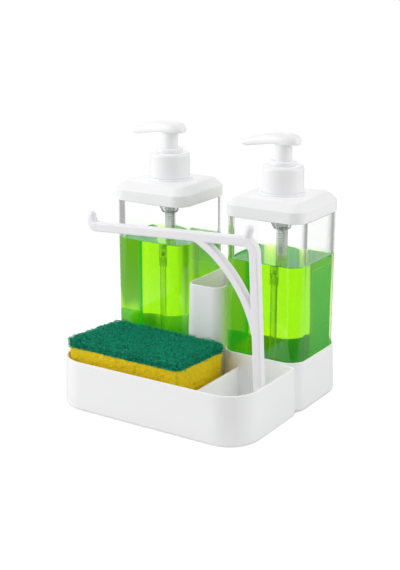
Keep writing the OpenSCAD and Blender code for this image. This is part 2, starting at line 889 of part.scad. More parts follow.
module piston_rod() {
    color("white")
    difference() {
        union() {
            disc(rod_end_d, rod_end_z, piston_z);
            disc(rod_collar_d, piston_z - rod_collar_t, piston_z);
            disc(rod_d, piston_z - root, rod_top_z);
        }
        disc(rod_bore_d, rod_end_z - overrun, rod_top_z + overrun);
    }
}

module piston() {
    color("whitesmoke")
    difference() {
        disc(piston_bore_d - 2 * bore_fit, piston_z, piston_z + piston_t);
        disc(rod_d + 2 * bore_fit, piston_z - overrun, piston_z + piston_t + overrun);
    }
}

// One ring of the head's section, in the plane across the nozzle
function head_ring(s) =
    let (
        x = s[0] < 0 ? s[0] * head_reach : s[0] * head_back,
        half = s[1] * head_w / 2,
        top = s[2] * head_h,
        edge = s[3] * head_h,
        under = s[4] * head_h
    )
    [for (k = [0:head_sides - 1])
        let (
            a = 360 * k / head_sides,
            c = cos(a),
            n = sin(a),
            y = half * sign(c) * pow(abs(c), head_power_shares[0]),
            z = n >= 0 ? edge + (top - edge) * pow(n, head_power_shares[1])
                : edge - (edge - under) * pow(-n, head_power_shares[2]),
            back = s[0] == -1 ? tip_slant * (top - z) / (top - under) : 0
        )
        [x + back, y, head_z + z]];

module pump_head() {
    tip_z = head_z + head_h * (head_shares[0][2] + head_shares[0][4]) / 2;
    channel_z = head_z + head_h * channel_share;
    fall = atan((channel_z - tip_z) / head_reach);
    color("white")
    difference() {
        union() {
            skin([for (s = head_shares) head_ring(s)]);
            disc(sleeve_d, sleeve_z, channel_z);
        }
        disc(sleeve_bore_d, sleeve_z - overrun, rod_socket_z);
        disc(rod_d + 2 * bore_fit, sleeve_z, head_z);
        disc(rod_bore_d, sleeve_z, channel_z);
        translate([0, 0, channel_z])
            rotate([0, -90 - fall, 0])
                cylinder(d = outlet_d, h = head_reach + overrun, $fn = 24);
    }
}

caddy_base();
rubber_feet();
towel_rail();
sponge_foam();
scouring_pad();
left() jar();  // left_jar
left() soap();  // left_soap
left() lid();  // left_lid
left() lid_gasket();  // left_lid_gasket
left() collar();  // left_collar
left() collar_gasket();  // left_collar_gasket
left() pump_housing();  // left_pump_housing
left() lock_ring();  // left_lock_ring
left() dip_tube();  // left_dip_tube
left() check_ball();  // left_check_ball
left() spring();  // left_spring
left() piston_rod();  // left_piston_rod
left() piston();  // left_piston
left() pump_head();  // left_pump_head
right() jar();  // right_jar
right() soap();  // right_soap
right() lid();  // right_lid
right() lid_gasket();  // right_lid_gasket
right() collar();  // right_collar
right() collar_gasket();  // right_collar_gasket
right() pump_housing();  // right_pump_housing
right() lock_ring();  // right_lock_ring
right() dip_tube();  // right_dip_tube
right() check_ball();  // right_check_ball
right() spring();  // right_spring
right() piston_rod();  // right_piston_rod
right() piston();  // right_piston
right() pump_head();  // right_pump_head
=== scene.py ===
"""Looks of a soap pump caddy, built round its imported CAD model.

The caddy is a white moulded tray with two square jars of green soap, a tall brush well, a sponge
and a towel rail. Shapes are worked out in millimetres and put into the meshes in metres.
"""

import math
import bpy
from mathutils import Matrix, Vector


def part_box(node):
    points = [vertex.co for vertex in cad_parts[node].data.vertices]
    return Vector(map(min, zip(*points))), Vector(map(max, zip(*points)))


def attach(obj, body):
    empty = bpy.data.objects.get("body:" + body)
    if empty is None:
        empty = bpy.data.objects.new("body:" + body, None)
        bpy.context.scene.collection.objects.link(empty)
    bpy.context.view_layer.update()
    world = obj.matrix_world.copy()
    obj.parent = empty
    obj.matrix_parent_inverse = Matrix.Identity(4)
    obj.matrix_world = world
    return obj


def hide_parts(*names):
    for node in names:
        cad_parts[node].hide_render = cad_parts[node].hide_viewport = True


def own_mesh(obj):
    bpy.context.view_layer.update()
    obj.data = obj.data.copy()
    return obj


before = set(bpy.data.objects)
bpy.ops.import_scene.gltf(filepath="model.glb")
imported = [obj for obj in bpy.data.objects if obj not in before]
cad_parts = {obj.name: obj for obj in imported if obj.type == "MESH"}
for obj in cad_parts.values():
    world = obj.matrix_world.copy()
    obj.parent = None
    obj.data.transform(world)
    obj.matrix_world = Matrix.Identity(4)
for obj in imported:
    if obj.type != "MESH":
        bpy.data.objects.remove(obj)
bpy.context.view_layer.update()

from types import SimpleNamespace

import bpy
import numpy as np
from bpy.props import FloatProperty, FloatVectorProperty, IntProperty, PointerProperty
from mathutils import Vector

bl_info = {
    "name": "Soap pump caddy",
    "version": (1, 0, 0),
    "blender": (4, 5, 0),
    "location": "3D View > Sidebar > Caddy",
    "description": "Builds the tray, rail, jars, pumps and sponge of a soap pump caddy",
    "category": "Add Mesh",
}

MM = 0.001
SIDES = ("left", "right")


# Properties


def linear(hex_colour):
    """sRGB hex to linear RGBA: c / 12.92 below 0.04045, else ((c + 0.055) / 1.055) ** 2.4."""
    c = np.array([int(hex_colour[i:i + 2], 16) for i in (1, 3, 5)]) / 255
    return (*np.where(c <= 0.04045, c / 12.92, ((c + 0.055) / 1.055) ** 2.4).tolist(), 1.0)


def listed(kind, table, **settings):
    """Properties of one kind from (default, description), each named by its key in plain words."""
    return {
        key: kind(
            name=key.replace("_", " ").capitalize(), description=text, default=value, **settings
        ) for key, (value, text) in table.items()
    }


def lengths(**table):
    """Length properties from (millimetres, description)."""
    table = {key: (value * MM, text) for key, (value, text) in table.items()}
    return listed(FloatProperty, table, unit="LENGTH", precision=5)


def angles(**table):
    """Angle properties from (degrees, description)."""
    table = {key: (math.radians(value), text) for key, (value, text) in table.items()}
    return listed(FloatProperty, table, subtype="ANGLE")


def colours(**table):
    """Colour properties from (sRGB hex, description)."""
    table = {key: (linear(value), text) for key, (value, text) in table.items()}
    return listed(FloatVectorProperty, table, size=4, subtype="COLOR", min=0, max=1)


def cad(node, corner, axis):
    """One coordinate of a CAD node's box, in millimetres."""
    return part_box(node)[corner][axis] / MM


class CaddyTray(bpy.types.PropertyGroup):
    __annotations__ = lengths(
        width=(175, "Width of the tray at its rim"),
        front=(-77.2, "Y of the front rim"),
        top=(40.5, "Height of the tray's rim"),
        corner=(25.7, "Radius of the front corners"),
        wall=(1.8, "Thickness of the tray's walls"),
        draft=(1.42, "How much further out the walls stand at the foot"),
        under=(0.5, "Height of the underside"),
        floor=(3.0, "Height of the floor inside"),
        foot=(4.0, "Rounding at the foot of the outer walls"),
        rim=(0.75, "Rounding of the rims"),
        well_x=(53.45, "Distance of a jar well's middle from the centre"),
        well_y=(41.15, "Y of the jar wells' middles"),
        well_width=(72.1, "Width of a jar well at its rim"),
        well_corner=(14.35, "Radius of the wells' corners"),
        well_top=(42.5, "Height of the wells' rims"),
        cavity=(69.8, "Width of a well's inside"),
        cavity_corner=(13.2, "Radius of the inside's corners"),
        brush_width=(32.4, "Width of the brush well at its rim"),
        brush_front=(7.9, "Y of the brush well's front at its rim"),
        brush_depth=(63.0, "Depth of the brush well at its rim"),
        brush_top=(92.0, "Height of the brush well's rim"),
        brush_flare=(2.6, "How much wider each side of the brush well is at the foot"),
        brush_corner=(8.0, "Radius of the brush well's corners"),
        brush_wall=(1.6, "Thickness of the brush well's walls"),
        divider_x=(36.0, "X of the divider's middle"),
        divider_top=(31.0, "Height of the divider's top edge"),
        rib_top=(5.5, "Height of the drain ribs' tops"),
        socket_top=(26.0, "Height of the post's socket"),
        socket_width=(12.8, "Outer width of the post's socket"),
        back=(5.7, "Y of the short walls that close the tray beside the wells"),
        back_corner=(3.0, "Radius of the tray's back corners"),
    )


class CaddyRail(bpy.types.PropertyGroup):
    __annotations__ = lengths(
        x=(82.0, "X of the post's foot"),
        y=(-37.8, "Y of the rail"),
        section=(7.2, "Width and depth of the rail's section"),
        edge=(1.2, "Rounding of the section's edges"),
        foot=(3.7, "Height of the post's foot"),
        height=(149.6, "Height of the bar's middle along the post"),
        reach=(148.9, "Distance from the post to the end hook"),
        elbow=(9.0, "Radius of the elbow's middle line"),
        hook=(5.0, "Radius of the end hook's bend"),
        hook_top=(12.2, "Height of the hooks above the bar's middle"),
        tip=(6.4, "Diameter of the hooks' rounded tips"),
        peg_x=(7.0, "Distance of the corner hook from the post"),
        brace=(6.2, "Thickness of the curved brace"),
        brace_radius=(101.6, "Radius of the brace's middle line"),
        brace_reach=(100.7, "Distance of the brace's centre from the post"),
        brace_height=(60.7, "Height of the brace's centre along the post"),
    ) | angles(
        lean=(3, "Angle by which the rail leans to the left"),
        peg_lean=(20, "Angle by which the corner hook leans outward"),
    )


class CaddyJar(bpy.types.PropertyGroup):
    __annotations__ = lengths(
        width=(69.2, "Width of a jar"),
        corner=(12.9, "Radius of a jar's corners"),
        wall=(3.0, "Thickness of a jar's walls"),
        foot=(cad("left_jar", 0, 2), "Height of a jar's underside"),
        floor=(6.3, "Height of the floor inside a jar"),
        shoulder=(153.5, "Height of a jar's shoulder"),
        top=(cad("left_jar", 1, 2), "Height of a jar's mouth"),
        neck=(2.0, "How far the neck is set in"),
        soap_foot=(6.25, "Height of the soap's lowest point"),
        soap_top=(cad("left_soap", 1, 2), "Height of the soap at the walls"),
        soap_width=(63.3, "Width of the soap, which wets the walls"),
        fuller=(2.5, "How much higher the soap stands in the left jar"),
        meniscus=(1.1, "How far the soap climbs at the walls"),
    )


class CaddyPump(bpy.types.PropertyGroup):
    __annotations__ = lengths(
        lid_width=(69.8, "Width of a lid"),
        lid_corner=(11.5, "Radius of a lid's corners"),
        lid_foot=(153.55, "Height of a lid's lower edge"),
        lid_skirt=(9.15, "Height of a lid's upright skirt"),
        lid_top=(169.0, "Height of a lid's flat top"),
        lid_slope=(8.0, "How far the flat top is set in"),
        step=(36.7, "Diameter of the step under the collar"),
        step_top=(171.0, "Height of the step's top"),
        collar=(33.5, "Diameter of the collar"),
        collar_top=(cad("left_collar", 1, 2), "Height of the collar's top"),
        ring=(21.4, "Diameter of the domed lock ring"),
        ring_top=(cad("left_lock_ring", 1, 2), "Height of the lock ring"),
        sleeve=(13.7, "Diameter of the sleeve under the head"),
        body=(17.0, "Diameter of the pump's body"),
        body_foot=(141.0, "Height of the pump body's lower end"),
        tube=(7.6, "Diameter of the spring's tube"),
        tube_foot=(cad("left_pump_housing", 0, 2), "Height of the spring tube's lower end"),
        dip=(6.0, "Diameter of the dip tube"),
        dip_wall=(0.8, "Thickness of the dip tube's wall"),
        spring=(5.6, "Outer diameter of the spring"),
        wire=(1.0, "Diameter of the spring's wire"),
        head_foot=(207.7, "Height of the head's underside at the stem"),
        head_height=(9.72, "Height of the head above its underside"),
        head_reach=(37.4, "Reach of the nozzle from the pump's axis"),
        head_back=(14.5, "Reach of the head's rounded back"),
        head_width=(17.4, "Width of the head"),
        head_slant=(3.2, "How far the nozzle's end face slants back"),
    ) | listed(IntProperty, {"turns": (16, "Turns of the spring")}, min=4, max=30)


class CaddySponge(bpy.types.PropertyGroup):
    __annotations__ = lengths(
        x=(-26.5, "X of the sponge's middle"),
        y=(-34.5, "Y of the sponge's middle"),
        length=(101.0, "Length of the sponge"),
        width=(67.0, "Width of the sponge"),
        foot=(5.8, "Height of the foam's underside"),
        seam=(46.4, "Height where the pad meets the foam"),
        top=(52.8, "Height of the pad's top"),
        drop=(1.8, "How much lower the right end is"),
        tilt=(4.5, "How much lower the back is than the front"),
        pores=(1.1, "Size of the foam's pores"),
    ) | angles(
        turn=(1.6, "Angle by which the sponge lies turned"),
    ) | listed(IntProperty, {"fibres": (9200, "Loose fibres on the pad")}, min=0)


class CaddyLooks(bpy.types.PropertyGroup):
    __annotations__ = colours(
        plastic=("#F6F6F7", "Moulded white polypropylene"),
        # The rail's colour is partly its own faint lilac and partly painted shade: it is kept a
        # little darker than the tray's white, though it is the same plastic, to offset the extra
        # light that the high rail catches.
        rail=("#EFEEF1", "The rail's faintly lilac polypropylene"),
        foam_light=("#EDD113", "Foam at its surface"),
        # The pore colour is painted shade, the dark that falls deep in the foam's pores.
        foam_deep=("#B69708", "Foam deep in its pores"),
        # The pad's two colours are painted light and shade: the pad as it looks in the light, and
        # painted shade between its fibres.
        pad_light=("#009872", "Scouring pad in the light"),
        pad_deep=("#00382A", "Scouring pad between its fibres"),
        # Painted light and shade: the loose fibres' lighter tone is painted light, and their darker
        # tone is painted shade, not a difference in resin.
        fibre_light=("#20E4B4", "Loose fibres in the light"),
        fibre_deep=("#005A43", "Loose fibres with less resin on them"),
    ) | listed(FloatProperty, {"backdrop": (1.0, "Strength of the white backdrop")}, min=0)


class CaddyStage(bpy.types.PropertyGroup):
    __annotations__ = listed(FloatProperty, {
        "left": (8.1, "Power of the left lamp in watts"),
        "right": (4.6, "Power of the right lamp in watts"),
        "top": (0.25, "Power of the top lamp in watts"),
        "fill": (0.88, "Strength of the studio's own light"),
        "lens": (73.569, "Focal length in millimetres"),
    })


GROUPS = {
    "caddy_tray": CaddyTray, "caddy_rail": CaddyRail, "caddy_jar": CaddyJar,
    "caddy_pump": CaddyPump, "caddy_sponge": CaddySponge, "caddy_looks": CaddyLooks,
    "caddy_stage": CaddyStage,
}


def in_mm(group):
    """A property group's values, with its lengths in millimetres and all others as they are."""
    rna = group.bl_rna.properties
    return SimpleNamespace(**{
        k: getattr(group, k) / MM if rna[k].unit == "LENGTH" else getattr(group, k)
        for k in group.__annotations__
    })


# Surfaces


def xyz(x, y, z):
    """Points from their three coordinates, which are stretched to one shape."""
    return np.stack(np.broadcast_arrays(x, y, z), -1)


def unit(vectors):
    """Each vector divided by its length."""
    return vectors / np.linalg.norm(vectors, axis=-1, keepdims=True)


def grid_faces(rows, columns, ring_rows):
    """Quads between neighbouring rows and columns. Columns always close; rows close if asked."""
    r = np.arange(rows if ring_rows else rows - 1)[:, None]
    c = np.arange(columns)[None, :]
    r1, c1 = (r + 1) % rows, (c + 1) % columns
    return np.stack(
        [r * columns + c, r * columns + c1, r1 * columns + c1, r1 * columns + c], -1
    ).reshape(-1, 4)


def volume(points, quads):
    """Signed volume that quads enclose: a sixth of the sum of a . (b x c) over their triangles."""
    a, b, c, d = (points[quads[:, i]] for i in range(4))
    return (np.einsum("ij,ij->", a, np.cross(b, c)) + np.einsum("ij,ij->", a, np.cross(c, d))) / 6


def shell(points, closed=False):
    """A closed surface from rows of points, each row a ring. It ends in a flat cap at both ends, or
    joins its last row to its first if closed. Its faces are turned to point outwards."""
    rows, columns = points.shape[:2]
    flat = points.reshape(-1, 3)
    quads = grid_faces(rows, columns, closed)
    ring = np.arange(columns)
    caps = [] if closed else [ring[::-1], ring + (rows - 1) * columns]
    fans = [np.stack([np.full(columns - 2, k[0]), k[1:-1], k[2:], k[2:]], -1) for k in caps]
    if volume(flat - flat.mean(0), np.concatenate([quads, *fans])) < 0:
        quads, caps = quads[:, ::-1], [k[::-1] for k in caps]
    return flat, quads, caps


def piece(name, shells, finish, body, stands_for=(), sharp=40):
    """Puts shells into one smooth mesh whose edges stay sharp above an angle in degrees."""
    first = np.cumsum([0] + [len(points) for points, _, _ in shells])
    points = np.concatenate([points for points, _, _ in shells]) * MM
    quads = np.concatenate([quads + k for (_, quads, _), k in zip(shells, first)])
    caps = [cap + k for (_, _, caps), k in zip(shells, first) for cap in caps]
    mesh = bpy.data.meshes.new(name)
    loops = np.concatenate([quads.ravel(), *caps]).astype(np.int32)
    sizes = np.array([4] * len(quads) + [len(cap) for cap in caps], np.int32)
    mesh.vertices.add(len(points))
    mesh.vertices.foreach_set("co", points.astype(np.float32).ravel())
    mesh.loops.add(len(loops))
    mesh.loops.foreach_set("vertex_index", loops)
    mesh.polygons.add(len(sizes))
    mesh.polygons.foreach_set("loop_start", (np.cumsum(sizes) - sizes).astype(np.int32))
    mesh.update(calc_edges=True)
    mesh.validate()
    mesh.polygons.foreach_set("use_smooth", np.ones(len(mesh.polygons), bool))
    mesh.set_sharp_from_angle(angle=math.radians(sharp))
    mesh.materials.append(finish)
    obj = bpy.data.objects.new(name, mesh)
    bpy.context.scene.collection.objects.link(obj)
    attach(obj, body)
    if stands_for:
        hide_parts(*stands_for)
    return obj


def eased(corners, setbacks, steps=5, ring=False):
    """Polyline with soft corners: each corner p gives way to the parabola that touches both of its
    sides a setback away, (1-t)^2 a + 2t(1-t) p + t^2 b, with a point beyond each end that keeps the
    flats flat. A setback is cut to 0.45 of the shorter side."""
    corners = np.array(corners, float)
    n = len(corners)
    t = np.linspace(0, 1, steps)[:, None]
    out = []
    for i, (p, s) in enumerate(zip(corners, setbacks)):
        if s == 0 or (not ring and i in (0, n - 1)):
            out.append(p[None])
            continue
        u, v = corners[i - 1] - p, corners[(i + 1) % n] - p
        lu, lv = np.linalg.norm(u), np.linalg.norm(v)
        s = min(s, 0.45 * lu, 0.45 * lv)
        hold = min(1.25 * s, 0.49 * lu, 0.49 * lv)
        a, b = p + u / lu * s, p + v / lv * s
        bend = (1 - t) ** 2 * a + 2 * t * (1 - t) * p + t ** 2 * b
        out += [(p + u / lu * hold)[None], bend, (p + v / lv * hold)[None]]
    return np.concatenate(out)


def round_rect(half_x, half_y, radius, steps=12):
    """Rings round a rectangle with round corners: corner centre + radius (cos t, sin t), a quarter
    turn at each corner, with one more point on each straight side next to every corner. Sizes are
    arrays with one value a ring. Radius may have four columns, from back right round by the
    left."""
    half_x, half_y = np.atleast_1d(half_x)[:, None, None], np.atleast_1d(half_y)[:, None, None]
    radius = np.asarray(radius, float)
    radius = radius[:, :, None] if radius.ndim == 2 else np.atleast_1d(radius)[:, None, None]
    turn = (np.arange(4)[:, None] + np.linspace(0, 1, steps + 1)) * (np.pi / 2)
    turn = np.concatenate([turn[:, :1], turn, turn[:, -1:]], 1)
    slip = np.zeros(steps + 3)
    slip[0], slip[-1] = -0.12, 0.12
    sx, sy = np.array([1, -1, -1, 1])[:, None], np.array([1, 1, -1, -1])[:, None]
    x = sx * (half_x - radius) + radius * (np.cos(turn) - slip * np.sin(turn))
    y = sy * (half_y - radius) + radius * (np.sin(turn) + slip * np.cos(turn))
    rows = max(x.shape[0], y.shape[0])
    return x.reshape(rows, -1), y.reshape(rows, -1)


def rings(half_x, half_y, radius, z, at, steps):
    """Rounded rectangles round a place, one at each height z, each with its own sizes."""
    x, y = round_rect(half_x, half_y, radius, steps)
    return xyz(at[0] + x, at[1] + y, z[:, None])


def stacked(profile, half, radius, at, steps):
    """Rounded squares carried along a profile of (growth, height): each ring stands out by its
    growth from the given half width and corner radius."""
    growth, z = profile.T
    return rings(half + growth, half + growth, np.maximum(radius + growth, 0.4), z, at, steps)


def lathe(profile, at, steps):
    """A profile of (radius, height) turned about a pump's axis: radius * (cos a, sin a), height."""
    a = np.arange(steps) * (2 * np.pi / steps)
    r, z = profile[:, :1], profile[:, 1:]
    return xyz(at[0] + r * np.cos(a), at[1] + r * np.sin(a), z)


def carried(path, u, v, a, b, size=1.0):
    """A section carried along a path: path point + size * (a * u + b * v). The section, its two
    directions and its size may change along the path."""
    return path[..., None, :] + size * (
        a[..., None] * u[..., None, :] + b[..., None] * v[..., None, :]
    )


def arc(centre, radius, start, end, steps):
    """Points on a circle from one angle to another, in degrees: centre + radius (cos a, sin a)."""
    a = np.radians(np.linspace(start, end, steps))
    return np.stack([centre[0] + radius * np.cos(a), centre[1] + radius * np.sin(a)], -1)


def straight(a, b, steps):
    """Points on a line, closer together near its ends: share = (1 - cos u) / 2."""
    s = (1 - np.cos(np.linspace(0, np.pi, steps))) / 2
    return np.array(a) + s[:, None] * (np.array(b) - np.array(a))


def closing(start, end, steps):
    """Places from start to end that crowd towards the end: end - (end - start) * cos(u) ** 1.6."""
    return end - (end - start) * np.cos(np.linspace(0, np.pi / 2, steps)) ** 1.6


def lattice_noise(p, size, seed):
    """Smooth random values from -1 to 1: hashed values on a cubic lattice of the given size,
    blended with t * t * (3 - 2 t) along each axis."""
    q = p / size
    cell = np.floor(q).astype(np.int64)
    f = q - cell
    f = f * f * (3 - 2 * f)
    total = np.zeros(p.shape[:-1])
    for corner in np.ndindex(2, 2, 2):
        h = np.bitwise_xor.reduce((cell + corner) * [73856093, 19349663, 83492791], axis=-1)
        h = (h ^ (seed * 977 + 131)) & 0x7FFFFFFF
        h = ((h ^ (h >> 13)) * 1274126177) & 0x7FFFFFFF
        h = h ^ (h >> 16)
        total += np.prod(np.where(corner, f, 1 - f), axis=-1) * ((h & 0xFFFF) / 32767.5 - 1)
    return total


def flowing(table, count):
    """Rows of a table joined by smooth curves (Catmull-Rom) and read at evenly spaced shares."""
    table = np.array(table, float)
    t = np.linspace(0, len(table) - 1, count)
    i = np.minimum(t.astype(int), len(table) - 2)
    u = (t - i)[:, None]
    p0, p1 = table[np.maximum(i - 1, 0)], table[i]
    p2, p3 = table[i + 1], table[np.minimum(i + 2, len(table) - 1)]
    return 0.5 * (
        2 * p1 + (p2 - p0) * u + (2 * p0 - 5 * p1 + 4 * p2 - p3) * u ** 2
        + (3 * p1 - p0 - 3 * p2 + p3) * u ** 3
    )


# Materials


def add(tree, kind, sockets=None, stops=(), **settings):
    """Adds a node, sets its properties, and sets its input sockets or links them. A node that is
    given for a socket is linked by its first output. Stops are the (position, colour) of a node
    with a colour ramp, in rising order."""
    node = tree.nodes.new("ShaderNode" + kind)
    for key, value in settings.items():
        setattr(node, key, value)
    for i, (position, value) in enumerate(stops):
        elements = node.color_ramp.elements
        element = elements[i] if i < len(elements) else elements.new(position)
        element.position, element.color = position, value
    for key, value in (sockets or {}).items():
        if isinstance(value, bpy.types.Node):
            value = value.outputs[0]
        if isinstance(value, bpy.types.NodeSocket):
            tree.links.new(value, node.inputs[key])
        else:
            node.inputs[key].default_value = value
    return node


def lit_through(tree, shader, tint):
    """A clear shader that lets the lamps' light pass straight through it, so that what lies inside
    or behind is lit."""
    return add(tree, "MixShader", {
        0: add(tree, "LightPath").outputs["Is Shadow Ray"], 1: shader,
        2: add(tree, "BsdfTransparent", {"Color": linear(tint)}),
    })


def moulded_polypropylene(tree, base, roughness):
    """Injection moulded polypropylene: an even white with a soft gloss, a faint orange peel about
    1.5 mm across, and a gloss that drifts a little over 20 mm where the wall cooled unevenly."""
    place = add(tree, "TexCoord").outputs["Object"]
    drift = add(tree, "TexNoise", {"Vector": place, "Scale": 1 / 0.020, "Detail": 2.0})
    peel = add(tree, "TexNoise", {"Vector": place, "Scale": 1 / 0.0015, "Detail": 1.0})
    gloss = add(tree, "MapRange", {
        "Value": drift, "From Min": 0.3, "From Max": 0.7,
        "To Min": roughness - 0.015, "To Max": roughness + 0.015,
    })
    bump = add(tree, "Bump", {"Height": peel, "Strength": 0.03, "Distance": 0.00002})
    return {"Surface": add(tree, "BsdfPrincipled", {
        "Base Color": tuple(base), "Roughness": gloss, "IOR": 1.49, "Normal": bump,
    })}


def clear_styrene(tree):
    """Clear moulded styrene (SAN): glass-like, with a slow waviness of 12 mm from the mould."""
    place = add(tree, "TexCoord").outputs["Object"]
    wave = add(tree, "TexNoise", {"Vector": place, "Scale": 1 / 0.012, "Detail": 0.0})
    bump = add(tree, "Bump", {"Height": wave, "Strength": 0.05, "Distance": 0.0002})
    return {"Surface": lit_through(tree, add(tree, "BsdfPrincipled", {
        "Base Color": linear("#FCFCFC"), "Roughness": 0.0, "IOR": 1.5, "Transmission Weight": 1.0,
        "Normal": bump,
    }), "#F8F8F8")}


def liquid_soap(tree):
    """Clear green liquid soap: it bends light like water and takes up violet and blue most, then
    some red, so that thin layers look lime and thick ones deep green. A very faint green glow is
    painted light, which stands for the light that its dye scatters."""
    return {"Surface": lit_through(tree, add(tree, "BsdfPrincipled", {
        "Base Color": (1, 1, 1, 1), "Roughness": 0.0, "IOR": 1.33, "Transmission Weight": 1.0,
        # Painted light: the soap glows faintly green, though it is no lamp.
        "Emission Color": (0.02, 1.0, 0.05, 1), "Emission Strength": 0.05,
    }), "#FFFFFF"), "Volume": add(tree, "VolumeAbsorption", {
        "Color": (0.832, 0.964, 0.05, 1), "Density": 84.0,
    })}


def natural_polyolefin(tree, milk, bend):
    """Unpigmented polypropylene or polyethylene: milky and see-through, with a satin surface that
    varies over 4 mm. Round the spring it bends light less than the real 1.49, so that the wire
    shows through it."""
    place = add(tree, "TexCoord").outputs["Object"]
    cloud = add(tree, "TexNoise", {"Vector": place, "Scale": 1 / 0.004, "Detail": 2.0})
    satin = add(tree, "MapRange", {"Value": cloud, "To Min": 0.02, "To Max": 0.07})
    return {"Surface": lit_through(tree, add(tree, "BsdfPrincipled", {
        "Base Color": linear("#F7F9F8"), "Roughness": satin, "IOR": bend,
        "Transmission Weight": 1.0 - milk,
    }), "#E6E8E7")}


def silicone(tree, base):
    """Moulded silicone rubber: soft and nearly matt, with dust-like mottling 0.8 mm across."""
    place = add(tree, "TexCoord").outputs["Object"]
    dust = add(tree, "TexNoise", {"Vector": place, "Scale": 1 / 0.0008, "Detail": 3.0})
    rough = add(tree, "MapRange", {"Value": dust, "To Min": 0.45, "To Max": 0.7})
    return {"Surface": add(tree, "BsdfPrincipled", {
        "Base Color": linear(base), "Roughness": rough, "IOR": 1.42,
    })}


def drawn_steel(tree):
    """Drawn stainless spring wire: bright, with fine lines left by the die, drawn 0.4 mm wide."""
    place = add(tree, "TexCoord").outputs["Object"]
    lines = add(tree, "TexNoise", {"Vector": place, "Scale": 1 / 0.0004, "Detail": 2.0})
    rough = add(tree, "MapRange", {"Value": lines, "To Min": 0.18, "To Max": 0.34})
    return {"Surface": add(tree, "BsdfPrincipled", {
        "Base Color": linear("#E6E7E8"), "Metallic": 1.0, "Roughness": rough,
    })}


def polyurethane_foam(tree, light, deep, pore):
    """Open-cell polyurethane foam, cut: painted shade darkens its little pores between the bright
    cell walls, and a drift of tone over 3 mm. Pores are drawn a little coarser than real ones, so
    that they show."""
    place = add(tree, "TexCoord").outputs["Object"]
    cells = add(tree, "TexVoronoi", {"Vector": place, "Scale": 1 / (pore * MM)})
    drift = add(tree, "TexNoise", {"Vector": place, "Scale": 1 / 0.003, "Detail": 3.0})
    both = add(tree, "Math", {0: cells, 1: drift}, operation="MULTIPLY")
    # The ramp paints shade into the pores, where the cells' value is low, on top of a random drift
    # of tone.
    tone = add(tree, "ValToRGB", {"Fac": both}, [(0.02, tuple(deep)), (0.19, tuple(light))])
    return {"Surface": add(tree, "BsdfPrincipled", {
        "Base Color": tone, "Roughness": 0.9, "IOR": 1.4,
        "Normal": add(tree, "Bump", {"Height": cells, "Strength": 0.5, "Distance": 0.0006}),
    })}


def nylon_web(tree, light, deep):
    """Non-woven nylon web with abrasive resin: a tangle of teal fibres, 1.1 mm from one to the
    next, painted in a lit tone on the fibres and in painted shade between them."""
    place = add(tree, "TexCoord").outputs["Object"]
    tangle = add(tree, "TexNoise", {
        "Vector": place, "Scale": 1 / 0.0011, "Detail": 3.0, "Roughness": 0.6, "Distortion": 1.2,
    })
    # The ramp paints the tangle's high parts in the lit tone and its low parts in painted shade, as
    # if between fibres.
    tone = add(tree, "ValToRGB", {"Fac": tangle}, [(0.36, tuple(deep)), (0.62, tuple(light))])
    return {"Surface": add(tree, "BsdfPrincipled", {
        "Base Color": tone, "Roughness": 0.75, "IOR": 1.35,
        "Normal": add(tree, "Bump", {"Height": tangle, "Strength": 0.7, "Distance": 0.0006}),
    })}


def finished(name, make, *values):
    """The named material, made only once: its maker adds the nodes and says what goes into the
    output."""
    made = bpy.data.materials.get(name)
    if made is None:
        made = bpy.data.materials.new(name)
        made.use_nodes = True
        made.node_tree.nodes.clear()
        add(made.node_tree, "OutputMaterial", make(made.node_tree, *values))
    return made


def finishes(looks, pore):
    """The materials under short names."""
    return SimpleNamespace(
        white=finished("polypropylene_white", moulded_polypropylene, looks.plastic, 0.3),
        rail=finished("polypropylene_rail", moulded_polypropylene, looks.rail, 0.34),
        clear=finished("styrene_clear", clear_styrene),
        soap=finished("soap_green", liquid_soap),
        natural=finished("polypropylene_natural", natural_polyolefin, 0.14, 1.2),
        tube=finished("polyethylene_tube", natural_polyolefin, 0.04, 1.5),
        washer=finished("silicone_pale", silicone, "#D9D9D6"),
        rubber=finished("rubber_grey", silicone, "#5A5A5A"),
        steel=finished("steel_wire", drawn_steel),
        foam=finished("foam_yellow", polyurethane_foam, looks.foam_light, looks.foam_deep, pore),
        pad=finished("nylon_web_teal", nylon_web, looks.pad_light, looks.pad_deep),
        fibre=finished("nylon_fibre_teal", nylon_web, looks.fibre_light, looks.fibre_deep),
    )


# Operators


class CaddyOperator:
    """What the operators share: each can be undone."""

    bl_options = {"REGISTER", "UNDO"}


def carry_out(build, scene):
    """Runs a builder with the scene's sizes, in millimetres, and its finishes."""
    sizes = {k.removeprefix("caddy_"): in_mm(getattr(scene, k)) for k in GROUPS}
    build(SimpleNamespace(**sizes), finishes(scene.caddy_looks, sizes["sponge"].pores))
    return {"FINISHED"}


def well_at(sizes, side):
    """Where a jar's axis stands."""
    return ((-1 if side == "left" else 1) * sizes.tray.well_x, sizes.tray.well_y)


def repaint(node, finish):
    """Gives a CAD node that stays in the scene its material."""
    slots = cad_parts[node].data.materials
    slots.clear()
    slots.append(finish)


# How far in from a well's side the flat cap of its underside or floor begins, in millimetres
CAP = 9


